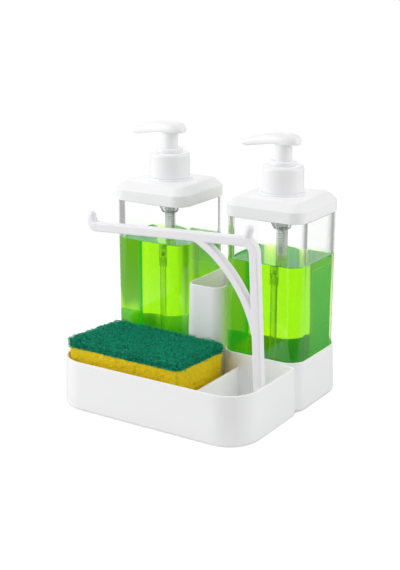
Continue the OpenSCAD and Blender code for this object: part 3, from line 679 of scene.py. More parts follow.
def tray_wall(t):
    """The wall's section carried along its line: in from the left well, round the back left
    corner, down the side, along the front with its corners, and back up the right side. Both
    ends lie inside the wells' fronts. The right half mirrors the left."""
    w, r, q = t.width / 2, t.corner, t.back_corner
    overlap, lap = 10, 3.0  # into a well's front, and in over the floor's edge
    parts = [
        (straight((overlap - w + q, t.back), (q - w, t.back), 4)[:-1], (0.0, 1.0)),
        (arc((q - w, t.back - q), q, 90, 180, 8), arc((0, 0), 1, 90, 180, 8)),
        (straight((-w, t.back - q), (-w, t.front + r), 7)[1:-1], (-1.0, 0.0)),
        (arc((r - w, t.front + r), r, 180, 270, 19), arc((0, 0), 1, 180, 270, 19)),
        (straight((r - w, t.front), (0, t.front), 6)[1:], (0.0, -1.0)),
    ]
    line = np.concatenate([k for k, _ in parts])
    out = np.concatenate([np.broadcast_to(n, k.shape) for k, n in parts])
    line, out = (np.concatenate([k, k[-2::-1] * [-1, 1]]) for k in (line, out))
    section = eased([
        (t.draft, t.under), (0, t.top), (-t.wall, t.top), (-t.wall - 0.1, t.floor),
        (-lap - 0.4, t.floor - 0.05), (-lap - 0.6, t.under + 0.4), (-lap, t.under),
    ], [t.foot, t.rim, t.rim, 0.8, 0, 0, 0], ring=True)
    xy = line[:, None] + section[:, :1] * out[:, None]
    return xyz(xy[..., 0], xy[..., 1], section[:, 1])


def plate(half, front, back, z, radius):
    """A flat slab whose back edge may slant: rows of rounded rectangles from its underside to
    its top, each with its own back line."""
    back, z = np.array(back, float), np.array(z)
    middle = (back[:, None] + front) / 2
    return rings(half, (back - front) / 2, np.tile(radius, (len(z), 1)), z, (0, middle), 10)


def jar_well(t, at):
    """A cup: out along the underside, round the foot, up the outside, over the rim, down the
    inside and in along the floor. Its rings are rounded squares, whose corner radius goes over
    from the outside's to the inside's between the walls."""
    half, inward = t.well_width / 2, (t.cavity - t.well_width) / 2
    growth, z = eased([
        (-CAP, t.under), (t.draft, t.under), (0, t.well_top), (inward, t.well_top),
        (inward, t.floor), (inward - CAP, t.floor),
    ], [0, t.foot, t.rim, t.rim, 0.5, 0]).T
    share = np.clip(growth / inward, 0, 1)
    radius = t.well_corner * (1 - share) + (t.cavity_corner - inward) * share + growth
    return rings(half + growth, half + growth, np.maximum(radius, 0.5), z, at, 14)


def brush_well(t):
    """A tall cup whose outside leans out towards its foot while its inside stays upright. Its
    front and back lean half as much as its sides."""
    half_x, half_y = t.brush_width / 2, t.brush_depth / 2
    low, rim = t.under + 0.5, t.rim * 0.9
    growth, z = eased([
        (1 - CAP, low), (t.brush_flare, low), (0, t.brush_top), (-t.brush_wall, t.brush_top),
        (-t.brush_wall, t.floor), (-CAP, t.floor),
    ], [0, 3.0, rim, rim, 1.0, 0]).T
    deep = np.where(growth > 0, growth / 2, growth)
    return rings(
        half_x + growth, half_y + deep, np.maximum(t.brush_corner + growth, 0.5), z,
        (0, t.brush_front + half_y), 12,
    )


def upright_rib(x, front, back, width, low, top, ease):
    """An upright rib along Y with a softened top edge: its section at its front and its back."""
    h = width / 2
    section = eased(
        [(x - h, low), (x + h, low), (x + h, top), (x - h, top)], [0, 0, ease, ease], ring=True
    )
    return xyz(section[:, 0], np.array([front, back])[:, None], section[:, 1])


def socket(t, low, rail):
    """An upright block with a square hole that leans with the post: x cos - z sin."""
    clearance, set_left = 0.15, 0.6
    half, hole = t.socket_width / 2, rail.section / 2 + clearance
    growth, z = eased([(0, low), (0, t.socket_top), (-1.6, t.socket_top)], [0, 0.5, 0]).T
    outer = rings(
        half + growth, half + growth, 1.8 + 0 * growth, z, (rail.x - set_left, rail.y), 6
    )
    z = np.array([t.socket_top, t.socket_top - 0.4, rail.foot - 0.3])
    growth = np.array([0.4, 0.0, 0.0])
    x, y = round_rect(hole + growth, hole + growth, 0.9 + growth, 6)
    lean = x * math.cos(rail.lean) - z[:, None] * math.sin(rail.lean)
    return np.concatenate([outer, xyz(rail.x + lean, rail.y + y, z[:, None])])


def build_tray(sizes, look):
    """The whole moulding as one piece, of closed shells that overlap: the wall, the floor and the
    bridge that carries it on between the jar wells, the wells, the divider, the ribs that keep
    the sponge off the floor, and the socket of the rail's post."""
    t = sizes.tray
    half, well = t.width / 2, t.well_width / 2
    inset, rooted = 3, t.floor - 0.6  # of the floor in the wall, and the ribs' and socket's foot
    floor = plate(
        half - inset, t.front + inset, [2, 2, 5, 5],
        [t.under, t.under + 0.01, t.floor, t.floor + 0.001],
        [1.0, 1.0, t.corner - inset, t.corner - inset],
    )
    bridge = plate(
        t.well_x - well + t.well_corner, 2.0, [14, 14], [t.under + 0.3, t.floor - 0.03], [1.0] * 4
    )
    shells = [tray_wall(t), brush_well(t), floor, bridge]
    shells += [jar_well(t, well_at(sizes, side)) for side in SIDES]
    front, back, thick = t.front + t.wall / 2, t.well_y - well + 1, 1.8
    shells.append(upright_rib(t.divider_x, front, back, thick, rooted, t.divider_top, 0.7))
    count, front, back, width = 5, t.front + 12.85, 2.3, 1.6
    left_of_divider = t.divider_x - thick / 2
    span = left_of_divider + half - t.wall - 2
    for i in range(1, count + 1):
        x = left_of_divider - span * i / (count + 1)
        shells.append(upright_rib(x, front, back, width, rooted, t.rib_top, 0.6))
    shells.append(socket(t, rooted, sizes.rail))
    piece("caddy_shell", [shell(k) for k in shells], look.white, "caddy",
          ["caddy_base"])
    repaint("rubber_feet", look.rubber)


class CADDY_OT_tray(CaddyOperator, bpy.types.Operator):
    """Moulded base: tray wall, floor, jar wells, brush well, divider, ribs and socket"""

    bl_idname = "caddy.tray"
    bl_label = "Tray"

    def execute(self, context):
        return carry_out(build_tray, context.scene)


def leaning(r, line, a, b):
    """Carries section points a (in the rail's plane) and b (in depth) along a line of (x, h),
    then leans the whole about the post's foot: x cos - h sin, x sin + h cos. The direction of a
    is the line's tangent turned by a quarter."""
    step = unit(np.gradient(line, axis=0))
    side = xyz(step[:, 1], 0, -step[:, 0])
    path = xyz(line[:, 0], 0, line[:, 1])
    x, y, h = np.moveaxis(carried(path, side, np.array([0.0, 1.0, 0.0]), a, b), -1, 0)
    c, s = math.cos(r.lean), math.sin(r.lean)
    return xyz(r.x + x * c - h * s, r.y + y, x * s + h * c)


def tip_scale(distance, radius):
    """Half-round end: width share = sqrt(1 - (1 - d / radius)^2) within a radius of the end."""
    d = np.clip(distance / radius, 0.0, 1.0)
    return np.sqrt(np.clip(1 - (1 - d) ** 2, 0.003, 1))[:, None]


def build_rail(sizes, look):
    """The bar with its end hook, the brace and the corner hook, each carried along its own line."""
    r = sizes.rail
    half, tip = r.section / 2, r.tip / 2
    (square_a,), (square_b,) = round_rect(half, half, r.edge, 4)
    angle = np.arctan2(square_b, square_a)
    top, bend = r.height + r.hook_top, r.height + r.hook
    rise = closing(bend, top, 14)
    main = np.concatenate([
        straight((0, r.foot), (0, r.height - r.elbow), 10),
        arc((-r.elbow, r.height - r.elbow), r.elbow, 0, 90, 13)[1:-1],
        straight((-r.elbow, r.height), (r.hook - r.reach, r.height), 12),
        arc((r.hook - r.reach, bend), r.hook, 270, 180, 11)[1:-1],
        np.stack([np.full(14, -r.reach), rise], -1),
    ])
    # The end hook goes over from the square section to a round tip
    from_top = np.where(main[:, 0] < 1 - r.reach, top - main[:, 1], 99)
    taper = np.clip((r.hook_top - from_top) / (r.hook_top - tip), 0, 1)[:, None]
    size = tip_scale(from_top, tip)
    a = (square_a * (1 - taper) + tip * np.cos(angle) * taper) * size
    b = (square_b * (1 - taper) + tip * np.sin(angle) * taper) * size
    # The brace is a little shallower than the bar, so that its sides lie inside the bar's
    start = math.degrees(math.acos(r.brace_reach / r.brace_radius))
    end = math.degrees(math.asin((r.height - r.brace_height) / r.brace_radius))
    bow = arc((-r.brace_reach, r.brace_height), r.brace_radius, start, end, 40)
    thin, shallow = r.brace / r.section + 0 * bow[:, :1], 0.975 + 0 * bow[:, :1]
    # The corner hook is a round peg
    tall, cap = r.hook_top / math.cos(r.peg_lean), 3
    along = np.concatenate([np.linspace(0, tall - cap, 5), closing(tall - cap, tall, 10)[1:]])
    lean = np.array([math.sin(r.peg_lean), math.cos(r.peg_lean)])
    peg = np.array([-r.peg_x, r.height]) + along[:, None] * lean
    turn = np.arange(28) * (2 * np.pi / 28)
    size = tip_scale(tall - along, tip)
    piece("rail_moulding", [
        shell(leaning(r, main, a, b)),
        shell(leaning(r, bow, square_a * thin, square_b * shallow)),
        shell(leaning(r, peg, tip * np.cos(turn) * size, tip * np.sin(turn) * size)),
    ], look.rail, "rail", ["towel_rail"])


class CADDY_OT_rail(CaddyOperator, bpy.types.Operator):
    """Towel rail: post, bar with its end hook, corner hook and curved brace"""

    bl_idname = "caddy.rail"
    bl_label = "Towel rail"

    def execute(self, context):
        return carry_out(build_rail, context.scene)


# How far in from its side the flat caps of a jar and its soap begin, in millimetres
JAR_CAP = 14


def jar_surface(j, at):
    """One closed surface: underside, the ring that it stands on, wall, shoulder, neck, mouth, and
    back down inside."""
    w, n, raised, under = j.wall, j.neck, j.foot + 0.5, j.shoulder - 0.4
    line = eased([
        (-JAR_CAP, raised), (-5, raised), (-4.2, j.foot), (0, j.foot), (0, j.shoulder),
        (-n, j.shoulder), (-n, j.top), (-n - w, j.top), (-n - w, under), (-w, under),
        (-w, j.floor), (-JAR_CAP, j.floor),
    ], [0, 0.4, 0.4, 2.2, 0.3, 0.2, 0.4, 0.4, 0.1, 0.1, 2.0, 0], steps=6)
    return stacked(line, j.width / 2, j.corner, at, 16)


def soap_surface(j, at, top):
    """The liquid's surface: it fills the jar and climbs its walls in a meniscus, whose height
    falls with the distance from the wall as exp(-d / 1.2 mm)."""
    rise, fall = j.meniscus, 1.2
    sides = eased([(-JAR_CAP, j.soap_foot), (0, j.soap_foot), (0, top)], [0, 1.9, 0], steps=6)
    d = np.array([0.25, 0.6, 1.0, 1.6, 2.3, 3.2, 4.5, 6.5, 10, 16])
    level = np.stack([-d, top - rise + rise * np.exp(-d / fall)], -1)
    return stacked(
        np.concatenate([sides, level]), j.soap_width / 2, j.corner - j.wall, at, 16
    )


def build_jars(sizes, look):
    """A jar and its soap on each side. The left jar is a little fuller."""
    j = sizes.jar
    for side in SIDES:
        at, bottle = well_at(sizes, side), f"{side}_bottle"
        piece(f"{side}_clear_jar", [shell(jar_surface(j, at))], look.clear, bottle,
              [f"{side}_jar"])
        top = j.soap_top + (j.fuller if side == "left" else 0)
        piece(f"{side}_liquid", [shell(soap_surface(j, at, top))], look.soap, bottle,
              [f"{side}_soap"])


class CADDY_OT_jars(CaddyOperator, bpy.types.Operator):
    """Clear square jars with the soap in them"""

    bl_idname = "caddy.jars"
    bl_label = "Jars and soap"

    def execute(self, context):
        return carry_out(build_jars, context.scene)


# Heights and radii inside a pump in millimetres, which meet those of the solids: the housing's
# flange and bore, its inside from the spring's seat down to the dip tube's socket, the rod with its
# stop, the sleeve's foot, the press of the head, and the bores of collar, ring and lid.
INSIDE = SimpleNamespace(
    flange=184.85, flange_top=187.2, flange_r=12.8, bore=146.5, bore_top=180.5, bore_r=6.0,
    seat=110.0, seat_r=3.25, spring=(110.05, 143.25), throat=105.0, throat_r=2.4, hole_r=1.5,
    dip=103.0, dip_r=3.05, rod=143.3, rod_r=2.7, stop=161.2, stop_top=163.2, stop_r=4.75,
    stem_r=3.5, sleeve=193.2, sleeve_r=5.5, press=12.0, thread_r=13.6, neck_r=13.3, ring_r=7.05,
    fit_r=9.75,
)


def turned(side, name, profile, at, steps, finish, body, node):
    """A ring-shaped profile turned about a pump's axis, as the piece that stands for a node."""
    piece(f"{side}_{name}", [shell(lathe(profile, at, steps), True)], finish, f"{side}_{body}",
          [f"{side}_{node}"])


def lid_cover(p, at):
    """The lid's cover: skirt, slope and flat top outside, recess and hollow inside, as one ring
    of profiles round the opening that the turned step closes. Two corners share the bend from
    the slope to the flat top."""
    low, knee, top = p.lid_foot, p.lid_foot + p.lid_skirt, p.lid_top
    slope, opening, recess, wall, roof = p.lid_slope, 20, 8.1, 2, 161.0
    line = eased([
        (0, low), (0, knee), (-slope * 0.84, top - 0.55), (-slope - 1.4, top), (-opening, top),
        (-opening, top - wall), (-recess, top - wall), (-recess, roof), (-wall, roof),
        (-wall, low),
    ], [0.35, 0.55, 1.0, 1.0, 0, 0, 0.3, 0.3, 0.3, 0.35], steps=5, ring=True)
    return stacked(line, p.lid_width / 2, p.lid_corner, at, 14)


def build_lids(sizes, look):
    """A lid, a screw collar and a domed ring on each side, from profiles of (radius, height)."""
    p, k = sizes.pump, INSIDE
    step, r, a, fit = p.step / 2, p.collar / 2, p.ring / 2, k.fit_r - 0.25
    skirt, bore, high = step + 2.5, 8.8, 184
    top, under = p.lid_top + 0.02, p.lid_top - 2.1
    neck = eased([
        (skirt, p.lid_top - 0.8), (skirt, top), (step, top), (step, p.step_top),
        (k.neck_r, p.step_top), (k.neck_r, high), (bore, high), (bore, under), (step - 1, under),
    ], [0, 0, 1.3, 0.8, 0.2, 0.4, 0.3, 0.2, 0.2], ring=True)
    foot = p.step_top + 0.04
    cap = eased([
        (k.thread_r, foot), (r, foot), (r - 0.15, p.collar_top), (k.fit_r, p.collar_top),
        (k.fit_r, k.flange_top), (k.thread_r, k.flange_top),
    ], [0.2, 0.25, 3.1, 0.3, 0.2, 0.2], steps=9, ring=True)
    foot = p.collar_top + 0.02
    dome = eased([
        (k.ring_r, k.flange_top), (fit, k.flange_top), (fit, foot), (a, foot), (a, p.ring_top),
        (k.ring_r, p.ring_top),
    ], [0.2, 0.2, 0, 0.3, 2.6, 0.5], steps=9, ring=True)
    for side in SIDES:
        at = well_at(sizes, side)
        piece(f"{side}_cover", [shell(lid_cover(p, at), True), shell(lathe(neck, at, 64), True)],
              look.white, f"{side}_pump", [f"{side}_lid"])
        turned(side, "screw_collar", cap, at, 96, look.white, "pump", "collar")
        turned(side, "domed_ring", dome, at, 80, look.white, "pump", "lock_ring")


class CADDY_OT_lids(CaddyOperator, bpy.types.Operator):
    """Lids with their collars and lock rings"""

    bl_idname = "caddy.lids"
    bl_label = "Lids and collars"

    def execute(self, context):
        return carry_out(build_lids, context.scene)


# Stations of the pump's head from the nozzle's tip to the back end: place along the head, then
# half-width, crest, side edge and underside, all as shares of the head's reach, width and height.
HEAD = [
    (-1.00, 0.30, 0.00, -0.22, -0.43),
    (-0.85, 0.38, 0.24, -0.12, -0.40),
    (-0.65, 0.52, 0.53, 0.04, -0.29),
    (-0.45, 0.68, 0.77, 0.15, -0.16),
    (-0.25, 0.86, 0.93, 0.22, -0.04),
    (-0.08, 0.97, 1.00, 0.25, 0.00),
    (0.20, 1.00, 1.00, 0.26, 0.00),
    (0.45, 0.96, 0.95, 0.26, 0.00),
    (0.70, 0.84, 0.84, 0.25, 0.00),
    (0.88, 0.62, 0.68, 0.24, 0.02),
    (0.97, 0.38, 0.50, 0.22, 0.06),
    (1.00, 0.14, 0.34, 0.20, 0.12),
]


def pump_head(p, at):
    """Sections across the nozzle: half-width * |cos|^0.8 across, and from the side edge up to
    the crest by sin^0.95 or down to the underside by sin^0.6. The tip's face slants back, which
    fades out over the first fifth of the nozzle."""
    along, wide, crest, edge, under = (k[:, None] for k in flowing(HEAD, 72).T)
    x = np.where(along < 0, along * p.head_reach, along * p.head_back)
    crest, edge, under = crest * p.head_height, edge * p.head_height, under * p.head_height
    a = (np.arange(48) + 0.5) * (2 * np.pi / 48)
    c, s = np.cos(a), np.sin(a)
    y = wide * p.head_width / 2 * np.sign(c) * np.abs(c) ** 0.8
    up = edge + (crest - edge) * np.abs(s) ** 0.95
    down = edge - (edge - under) * np.abs(s) ** 0.6
    z = np.where(s > 0, up, down)
    fade = np.clip(1 - (along + 1) / 0.2, 0, 1)
    x = x + fade * p.head_slant * (crest - z) / (crest - under)
    return xyz(at[0] + x, at[1] + y, p.head_foot + z)


def spring_coil(p, at):
    """The spring's wire: a circle of the wire's size carried along a helix whose pitch closes
    up over the last turn at each end."""
    low, high = INSIDE.spring
    turns, r = p.turns, (p.spring - p.wire) / 2
    steps, closed_turns, closed_pitch = 20, 1.2, 0.38
    t = np.linspace(0, turns, turns * steps + 1)
    near = np.clip(np.minimum(t, turns - t) / closed_turns, 0, 1)
    pace = closed_pitch + (1 - closed_pitch) * near ** 2 * (3 - 2 * near)
    climb = np.concatenate([[0], np.cumsum((pace[1:] + pace[:-1]) / 2)])
    z = low + p.wire / 2 + (high - low - p.wire) * climb / climb[-1]
    out = xyz(np.cos(2 * np.pi * t), np.sin(2 * np.pi * t), 0)
    path = xyz(at[0] + r * out[:, 0], at[1] + r * out[:, 1], z)
    up = np.cross(unit(np.gradient(path, axis=0)), out)
    b = np.arange(8) * (np.pi / 4)
    return carried(path, out, up, np.cos(b), np.sin(b), p.wire / 2)


def pump_profiles(p, side):
    """The turned pieces under the head, each a ring of (radius, height) with soft corners: the
    housing with the funnel between its body and tube, the dip tube, the rod and the piston."""
    k, body, tube, foot = INSIDE, p.body / 2, p.tube / 2, p.body_foot
    cylinder = eased([
        (k.dip_r, p.tube_foot), (tube, p.tube_foot), (tube, foot - 1), (6.6, foot),
        (7.5, foot + 2.6), (body, foot + 4), (body, k.flange), (k.flange_r, k.flange),
        (k.flange_r, k.flange_top), (k.ring_r, k.flange_top), (k.ring_r, k.bore_top),
        (k.bore_r, k.bore_top - 0.5), (k.bore_r, k.bore), (k.seat_r, k.bore - 0.3),
        (k.seat_r, k.seat), (k.throat_r, k.seat - 0.2), (k.throat_r, k.throat),
        (k.hole_r, k.throat - 0.2), (k.hole_r, k.dip), (k.dip_r, k.dip),
    ], [0.2, 0.3] + [1.0] * 4 + [0.4] + [0.2] * 5 + [0.5] * 2 + [0.1] * 6, ring=True)
    low, high = (cad(f"{side}_dip_tube", i, 2) for i in (0, 1))
    outer, inner = p.dip / 2, p.dip / 2 - p.dip_wall
    straw = eased([(inner, low), (outer, low), (outer, high), (inner, high)], [0.25] * 4, 3, True)
    end = p.head_foot - 0.4
    rod = eased([
        (k.hole_r, k.rod), (k.rod_r, k.rod), (k.rod_r, k.stop), (k.stop_r, k.stop),
        (k.stop_r, k.stop_top), (k.stem_r, k.stop_top), (k.stem_r, end), (k.hole_r, end),
    ], [0.1, 0.2, 0.2, 0.3, 0.2, 0.2, 0.2, 0.1], 3, True)
    low, high = (cad(f"{side}_piston", i, 2) for i in (0, 1))
    lip, groove, waist, bore = 5.95, 5.4, 5.5, k.stem_r + 0.05
    seal = eased([
        (bore, low), (groove, low + 0.4), (lip, low), (lip, low + 1.4), (waist, low + 2.2),
        (waist, high - 2.0), (lip, high - 1.2), (lip, high), (groove, high - 0.4), (bore, high),
    ], [0.2] * 10, 3, True)
    return cylinder, straw, rod, seal


def build_pumps(sizes, look):
    """A pump on each side."""
    p = sizes.pump
    inner, outer, low, high = INSIDE.sleeve_r, p.sleeve / 2, INSIDE.sleeve, p.head_foot + 2.2
    sleeve = eased(
        [(inner, low), (outer, low), (outer, high), (inner, high)], [0.3, 0.4, 0, 0], ring=True
    )
    for side in SIDES:
        at = well_at(sizes, side)
        cylinder, straw, rod, seal = pump_profiles(p, side)
        piece(f"{side}_nozzle_head", [shell(pump_head(p, at)), shell(lathe(sleeve, at, 64), True)],
              look.white, f"{side}_nozzle", [f"{side}_pump_head"], sharp=50)
        turned(side, "cylinder", cylinder, at, 56, look.natural, "pump",
               "pump_housing")
        turned(side, "straw", straw, at, 32, look.tube, "pump", "dip_tube")
        coil = piece(f"{side}_coil", [shell(spring_coil(p, at))], look.steel, f"{side}_pump",
                     [f"{side}_spring"], sharp=80)
        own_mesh(coil)
        turned(side, "hollow_rod", rod, at, 40, look.natural, "plunger",
               "piston_rod")
        turned(side, "lip_piston", seal, at, 40, look.washer, "plunger", "piston")
        repaint(f"{side}_lid_gasket", look.washer)
        repaint(f"{side}_collar_gasket", look.washer)
        repaint(f"{side}_check_ball", look.steel)


class CADDY_OT_pumps(CaddyOperator, bpy.types.Operator):
    """Pump heads, housings, rods, springs, tubes and gaskets"""

    bl_idname = "caddy.pumps"
    bl_label = "Pumps"

    def execute(self, context):
        return carry_out(build_pumps, context.scene)


def laid(s, p):
    """Lowers the right end by the drop and the back by the tilt, turns the sponge, and sets it
    in its place."""
    x, y, z = np.moveaxis(p, -1, 0)
    share = np.clip((z - s.foot) / (s.seam - s.foot), 0, 1)
    z = z - share * (s.drop * x / s.length + s.tilt * y / s.width)
    c, n = math.cos(s.turn), math.sin(s.turn)
    return xyz(s.x + x * c - y * n, s.y + x * n + y * c, z)


def rounded_block(s, profile, radius, columns):
    """Rings of a rounded rectangle, spaced evenly round its outline, that shrink towards the
    middle over the top and bottom: outline * share + direction from the middle * growth, at each
    (share, growth, height)."""
    (x,), (y,) = round_rect(s.length / 2, s.width / 2, radius, 10)
    loop = np.stack([np.append(x, x[0]), np.append(y, y[0])], -1)
    run = np.concatenate([[0], np.cumsum(np.linalg.norm(np.diff(loop, axis=0), axis=1))])
    at = np.linspace(0, run[-1], columns, endpoint=False)
    even = np.stack([np.interp(at, run, loop[:, k]) for k in (0, 1)], -1)
    share, growth, z = profile.T[..., None]
    xy = even * share[..., None] + unit(even) * growth[..., None]
    return xyz(xy[..., 0], xy[..., 1], z)


def pushed(p, amount):
    """Moves points straight away from the upright axis by an amount in millimetres."""
    away = p * [1, 1, 0] / np.maximum(np.linalg.norm(p[..., :2], axis=-1, keepdims=True), 1)
    return p + away * amount[..., None]


def layered_noise(p, layers):
    """Layers of lattice noise summed: (strength, size in millimetres, seed)."""
    return sum(strength * lattice_noise(p, size, seed) for strength, size, seed in layers)


def build_sponge(sizes, look):
    """Foam whose sides are drawn in by 0.9 mm at half height, 1.5 - 0.9 sin(pi h)^0.8, with a rough
    cut face, and on it the pad, whose edge swells by 0.5 mm and whose top is tufted."""
    s = sizes.sponge
    inward, h = np.linspace(0.03, 0.985, 30), np.linspace(0, 1, 44)
    waist = 1.5 - 0.9 * np.sin(np.pi * h) ** 0.8
    profile = np.concatenate([
        xyz(inward, 0, s.foot), xyz(1, waist, s.foot + 0.8 + (s.seam - s.foot - 1.2) * h),
        xyz(inward[::-1], 0, s.seam),
    ])
    p = rounded_block(s, profile, 3.0, 420)
    rough = layered_noise(p, [(0.42, 2.2, 3), (0.3, 1.1, 5), (0.6, 14, 7)])
    p = pushed(p, rough * (profile[:, 0] == 1)[:, None])
    foam = piece("foam_block", [shell(laid(s, p))], look.foam, "sponge",
                 ["sponge_foam"], sharp=80)

    inward, h = np.linspace(0.02, 0.99, 56), np.linspace(0, 1, 12)
    under = inward[::3]
    profile = np.concatenate([
        xyz(under, 0, s.seam + 0.02),
        xyz(1, 0.6 + 0.5 * np.sin(np.pi * h), s.seam + 0.3 + (s.top - s.seam - 0.9) * h),
        xyz(inward[::-1], 0, s.top - 0.4),
    ])
    p = rounded_block(s, profile, 3.5, 520)
    tufts = layered_noise(p, [(0.6, 2.0, 11), (0.5, 1.0, 13), (0.3, 9.0, 17)])
    rim = (profile[:, 0] >= inward[-1] - 0.005)[:, None]
    upper = (np.arange(len(profile)) >= len(under) + len(h))[:, None]
    p = pushed(p, tufts * rim)
    p[..., 2] += 0.8 * tufts * upper
    pad = piece("fibre_pad", [shell(laid(s, p))], look.pad, "sponge",
                ["scouring_pad"], sharp=80)
    fibres(s, look)


def fibres(s, look):
    """Loose fibres: bowed tubes of three sides, 2.5 to 6 mm long, half of them on the pad's top and
    half round its edge. Each follows point + d (t - 1/2) + bow (t - t^2) over its length, lies
    nearly flat on its surface, and thins out towards its ends. A few stand up in higher loops."""
    rng = np.random.default_rng(5301)
    n, steps, sides = s.fibres, 4, 3
    margin, proud, radius = 1.5, 0.8, 0.18
    edge = rng.random(n) < 0.5
    x = (rng.random(n) - 0.5) * (s.length - margin)
    y = (rng.random(n) - 0.5) * (s.width - margin)
    on_y = edge & (rng.random(n) < s.length / (s.length + s.width))
    on_x = edge & ~on_y
    sign = np.where(rng.random(n) < 0.5, -1.0, 1.0)
    x = np.where(on_x, sign * (s.length / 2 + proud), x)
    y = np.where(on_y, sign * (s.width / 2 + proud), y)
    z = np.where(edge, s.seam - 0.2 + rng.random(n) * (s.top - s.seam), s.top - 0.1)
    heading = rng.random(n) * 2 * np.pi
    lie = xyz(np.cos(heading), np.sin(heading), rng.normal(0, 0.10, n))
    over = xyz(np.where(on_x, sign, 0), np.where(on_y, sign, 0), np.where(edge, 0, 1.0))
    lie = lie - over * np.sum(lie * over, -1, keepdims=True) * 0.9
    lie[:, 2] *= np.where(edge, 3.0, 1.0)
    size = 2.5 + 3.5 * rng.random(n)[:, None]
    bow = over * (1.6 + 11.0 * rng.random(n)[:, None] ** 4) + rng.normal(0, 2.2, (n, 3))
    t = np.linspace(0, 1, steps)[None, :, None]
    path = xyz(x, y, z)[:, None] + lie[:, None] * size[:, None] * (t - 0.5)
    path = path + bow[:, None] * (t - t ** 2)
    step = unit(np.gradient(path, axis=1))
    first = unit(np.cross(step, np.array([0.31, 0.52, 0.79])))
    b = np.arange(sides) * (2 * np.pi / sides)
    thin = radius * np.sin(np.pi * np.linspace(0.08, 0.92, steps))[:, None, None] ** 0.4
    ring = carried(path, first, np.cross(step, first), np.cos(b), np.sin(b), thin)
    flat = laid(s, ring).reshape(-1, 3)
    start = (np.arange(n) * steps * sides)[:, None]
    quads = (grid_faces(steps, sides, False) + start[..., None]).reshape(-1, 4)[:, ::-1]
    last = start + (steps - 1) * sides
    caps = list(np.concatenate([start + [1, 2, 0], last + [2, 1, 0]]))
    if volume(flat - flat.mean(0), quads) < 0:
        quads, caps = quads[:, ::-1], [k[::-1] for k in caps]
    piece("pad_fibres", [(flat, quads, caps)], look.fibre, "sponge", sharp=180)


class CADDY_OT_sponge(CaddyOperator, bpy.types.Operator):
    """Sponge: foam block and scouring pad with its loose fibres"""

    bl_idname = "caddy.sponge"
    bl_label = "Sponge"

    def execute(self, context):
        return carry_out(build_sponge, context.scene)


# Brightness of the studio at shares of the turn from the lens's side to behind the object: as
# clear and glossy pieces show it, at the least where it is seen straight through clear pieces from
# other sides, and as it lights matt surfaces.
BEHIND = [(0.0, 0.03), (0.55, 0.1), (0.72, 0.58), (0.93, 0.34), (0.97, 0.4), (0.989, 1.25)]
STRAIGHT = [(0.44, 1.05), (0.52, 0.0)]
ALL_ROUND = [(0.05, 0.38), (0.35, 1.05), (0.6, 0.93), (0.85, 0.66)]

# Places in metres: where the camera stands and aims, the level direction that it looks in, where
# the lamps stand and what they light, and the point that the floor's directions are taken from.
CAMERA_AT, CAMERA_AIM = (0.48506, -0.75046, 0.36411), (0.01904, -0.02560, 0.10451)
LENS_WAY = (-0.54, 0.84, 0.0)
LAMPS = {
    "left": ((-0.95, -0.75, 0.62), 0.9), "right": ((1.10, 0.35, 0.68), 0.9),
    "top": ((0.0, 0.15, 1.25), 1.1),
}
LIT = (0.0, 0.0, 0.09)
FLOOR_POINT = (0.102, -0.119, 0.0)
FLOOR_HALF = 8.0


def aimed(name, data, place, aim):
    """Puts a lamp or camera at a place and turns it to another."""
    obj = bpy.data.objects.new(name, data)
    obj.location = place
    obj.rotation_euler = (Vector(aim) - Vector(place)).to_track_quat("-Z", "Y").to_euler()
    bpy.context.scene.collection.objects.link(obj)
    return obj


def seen_clearly(tree, seen):
    """1 where glossy or clear pieces show the studio to the lens, 0 where it lights matt ones."""
    sharp = add(tree, "Math", {
        0: seen.outputs["Is Glossy Ray"], 1: seen.outputs["Is Transmission Ray"],
    }, operation="MAXIMUM")
    matt = add(tree, "Math", {0: seen.outputs["Diffuse Depth"], 1: 1.0}, operation="MINIMUM")
    return add(tree, "Math", {0: sharp, 1: matt}, operation="SUBTRACT", use_clamp=True)


def round_about(tree, way, levels):
    """Brightness of the studio by direction: levels at shares of the turn from the lens's side
    (0) to the side behind the object (1), as (cos + 1) / 2."""
    toward = add(tree, "VectorMath", {0: way, 1: LENS_WAY}, operation="DOT_PRODUCT")
    share = add(tree, "MapRange", {"Value": toward.outputs["Value"], "From Min": -1.0})
    return add(tree, "ValToRGB", {"Fac": share}, [(k, (v, v, v, 1)) for k, v in levels])


def seen_behind(tree, seen, way):
    """The studio as clear and glossy pieces show it. Light that no mirror-like turn has bent
    off its way finds the lens's side bright too, so that jars look clear from behind."""
    bent = seen.outputs["Glossy Depth"]
    unbent = add(tree, "Math", {0: 1.0, 1: bent}, operation="SUBTRACT", use_clamp=True)
    level = round_about(tree, way, STRAIGHT)
    least = add(tree, "Math", {0: unbent, 1: level}, operation="MULTIPLY")
    return add(tree, "Math", {0: least, 1: round_about(tree, way, BEHIND)}, operation="MAXIMUM")


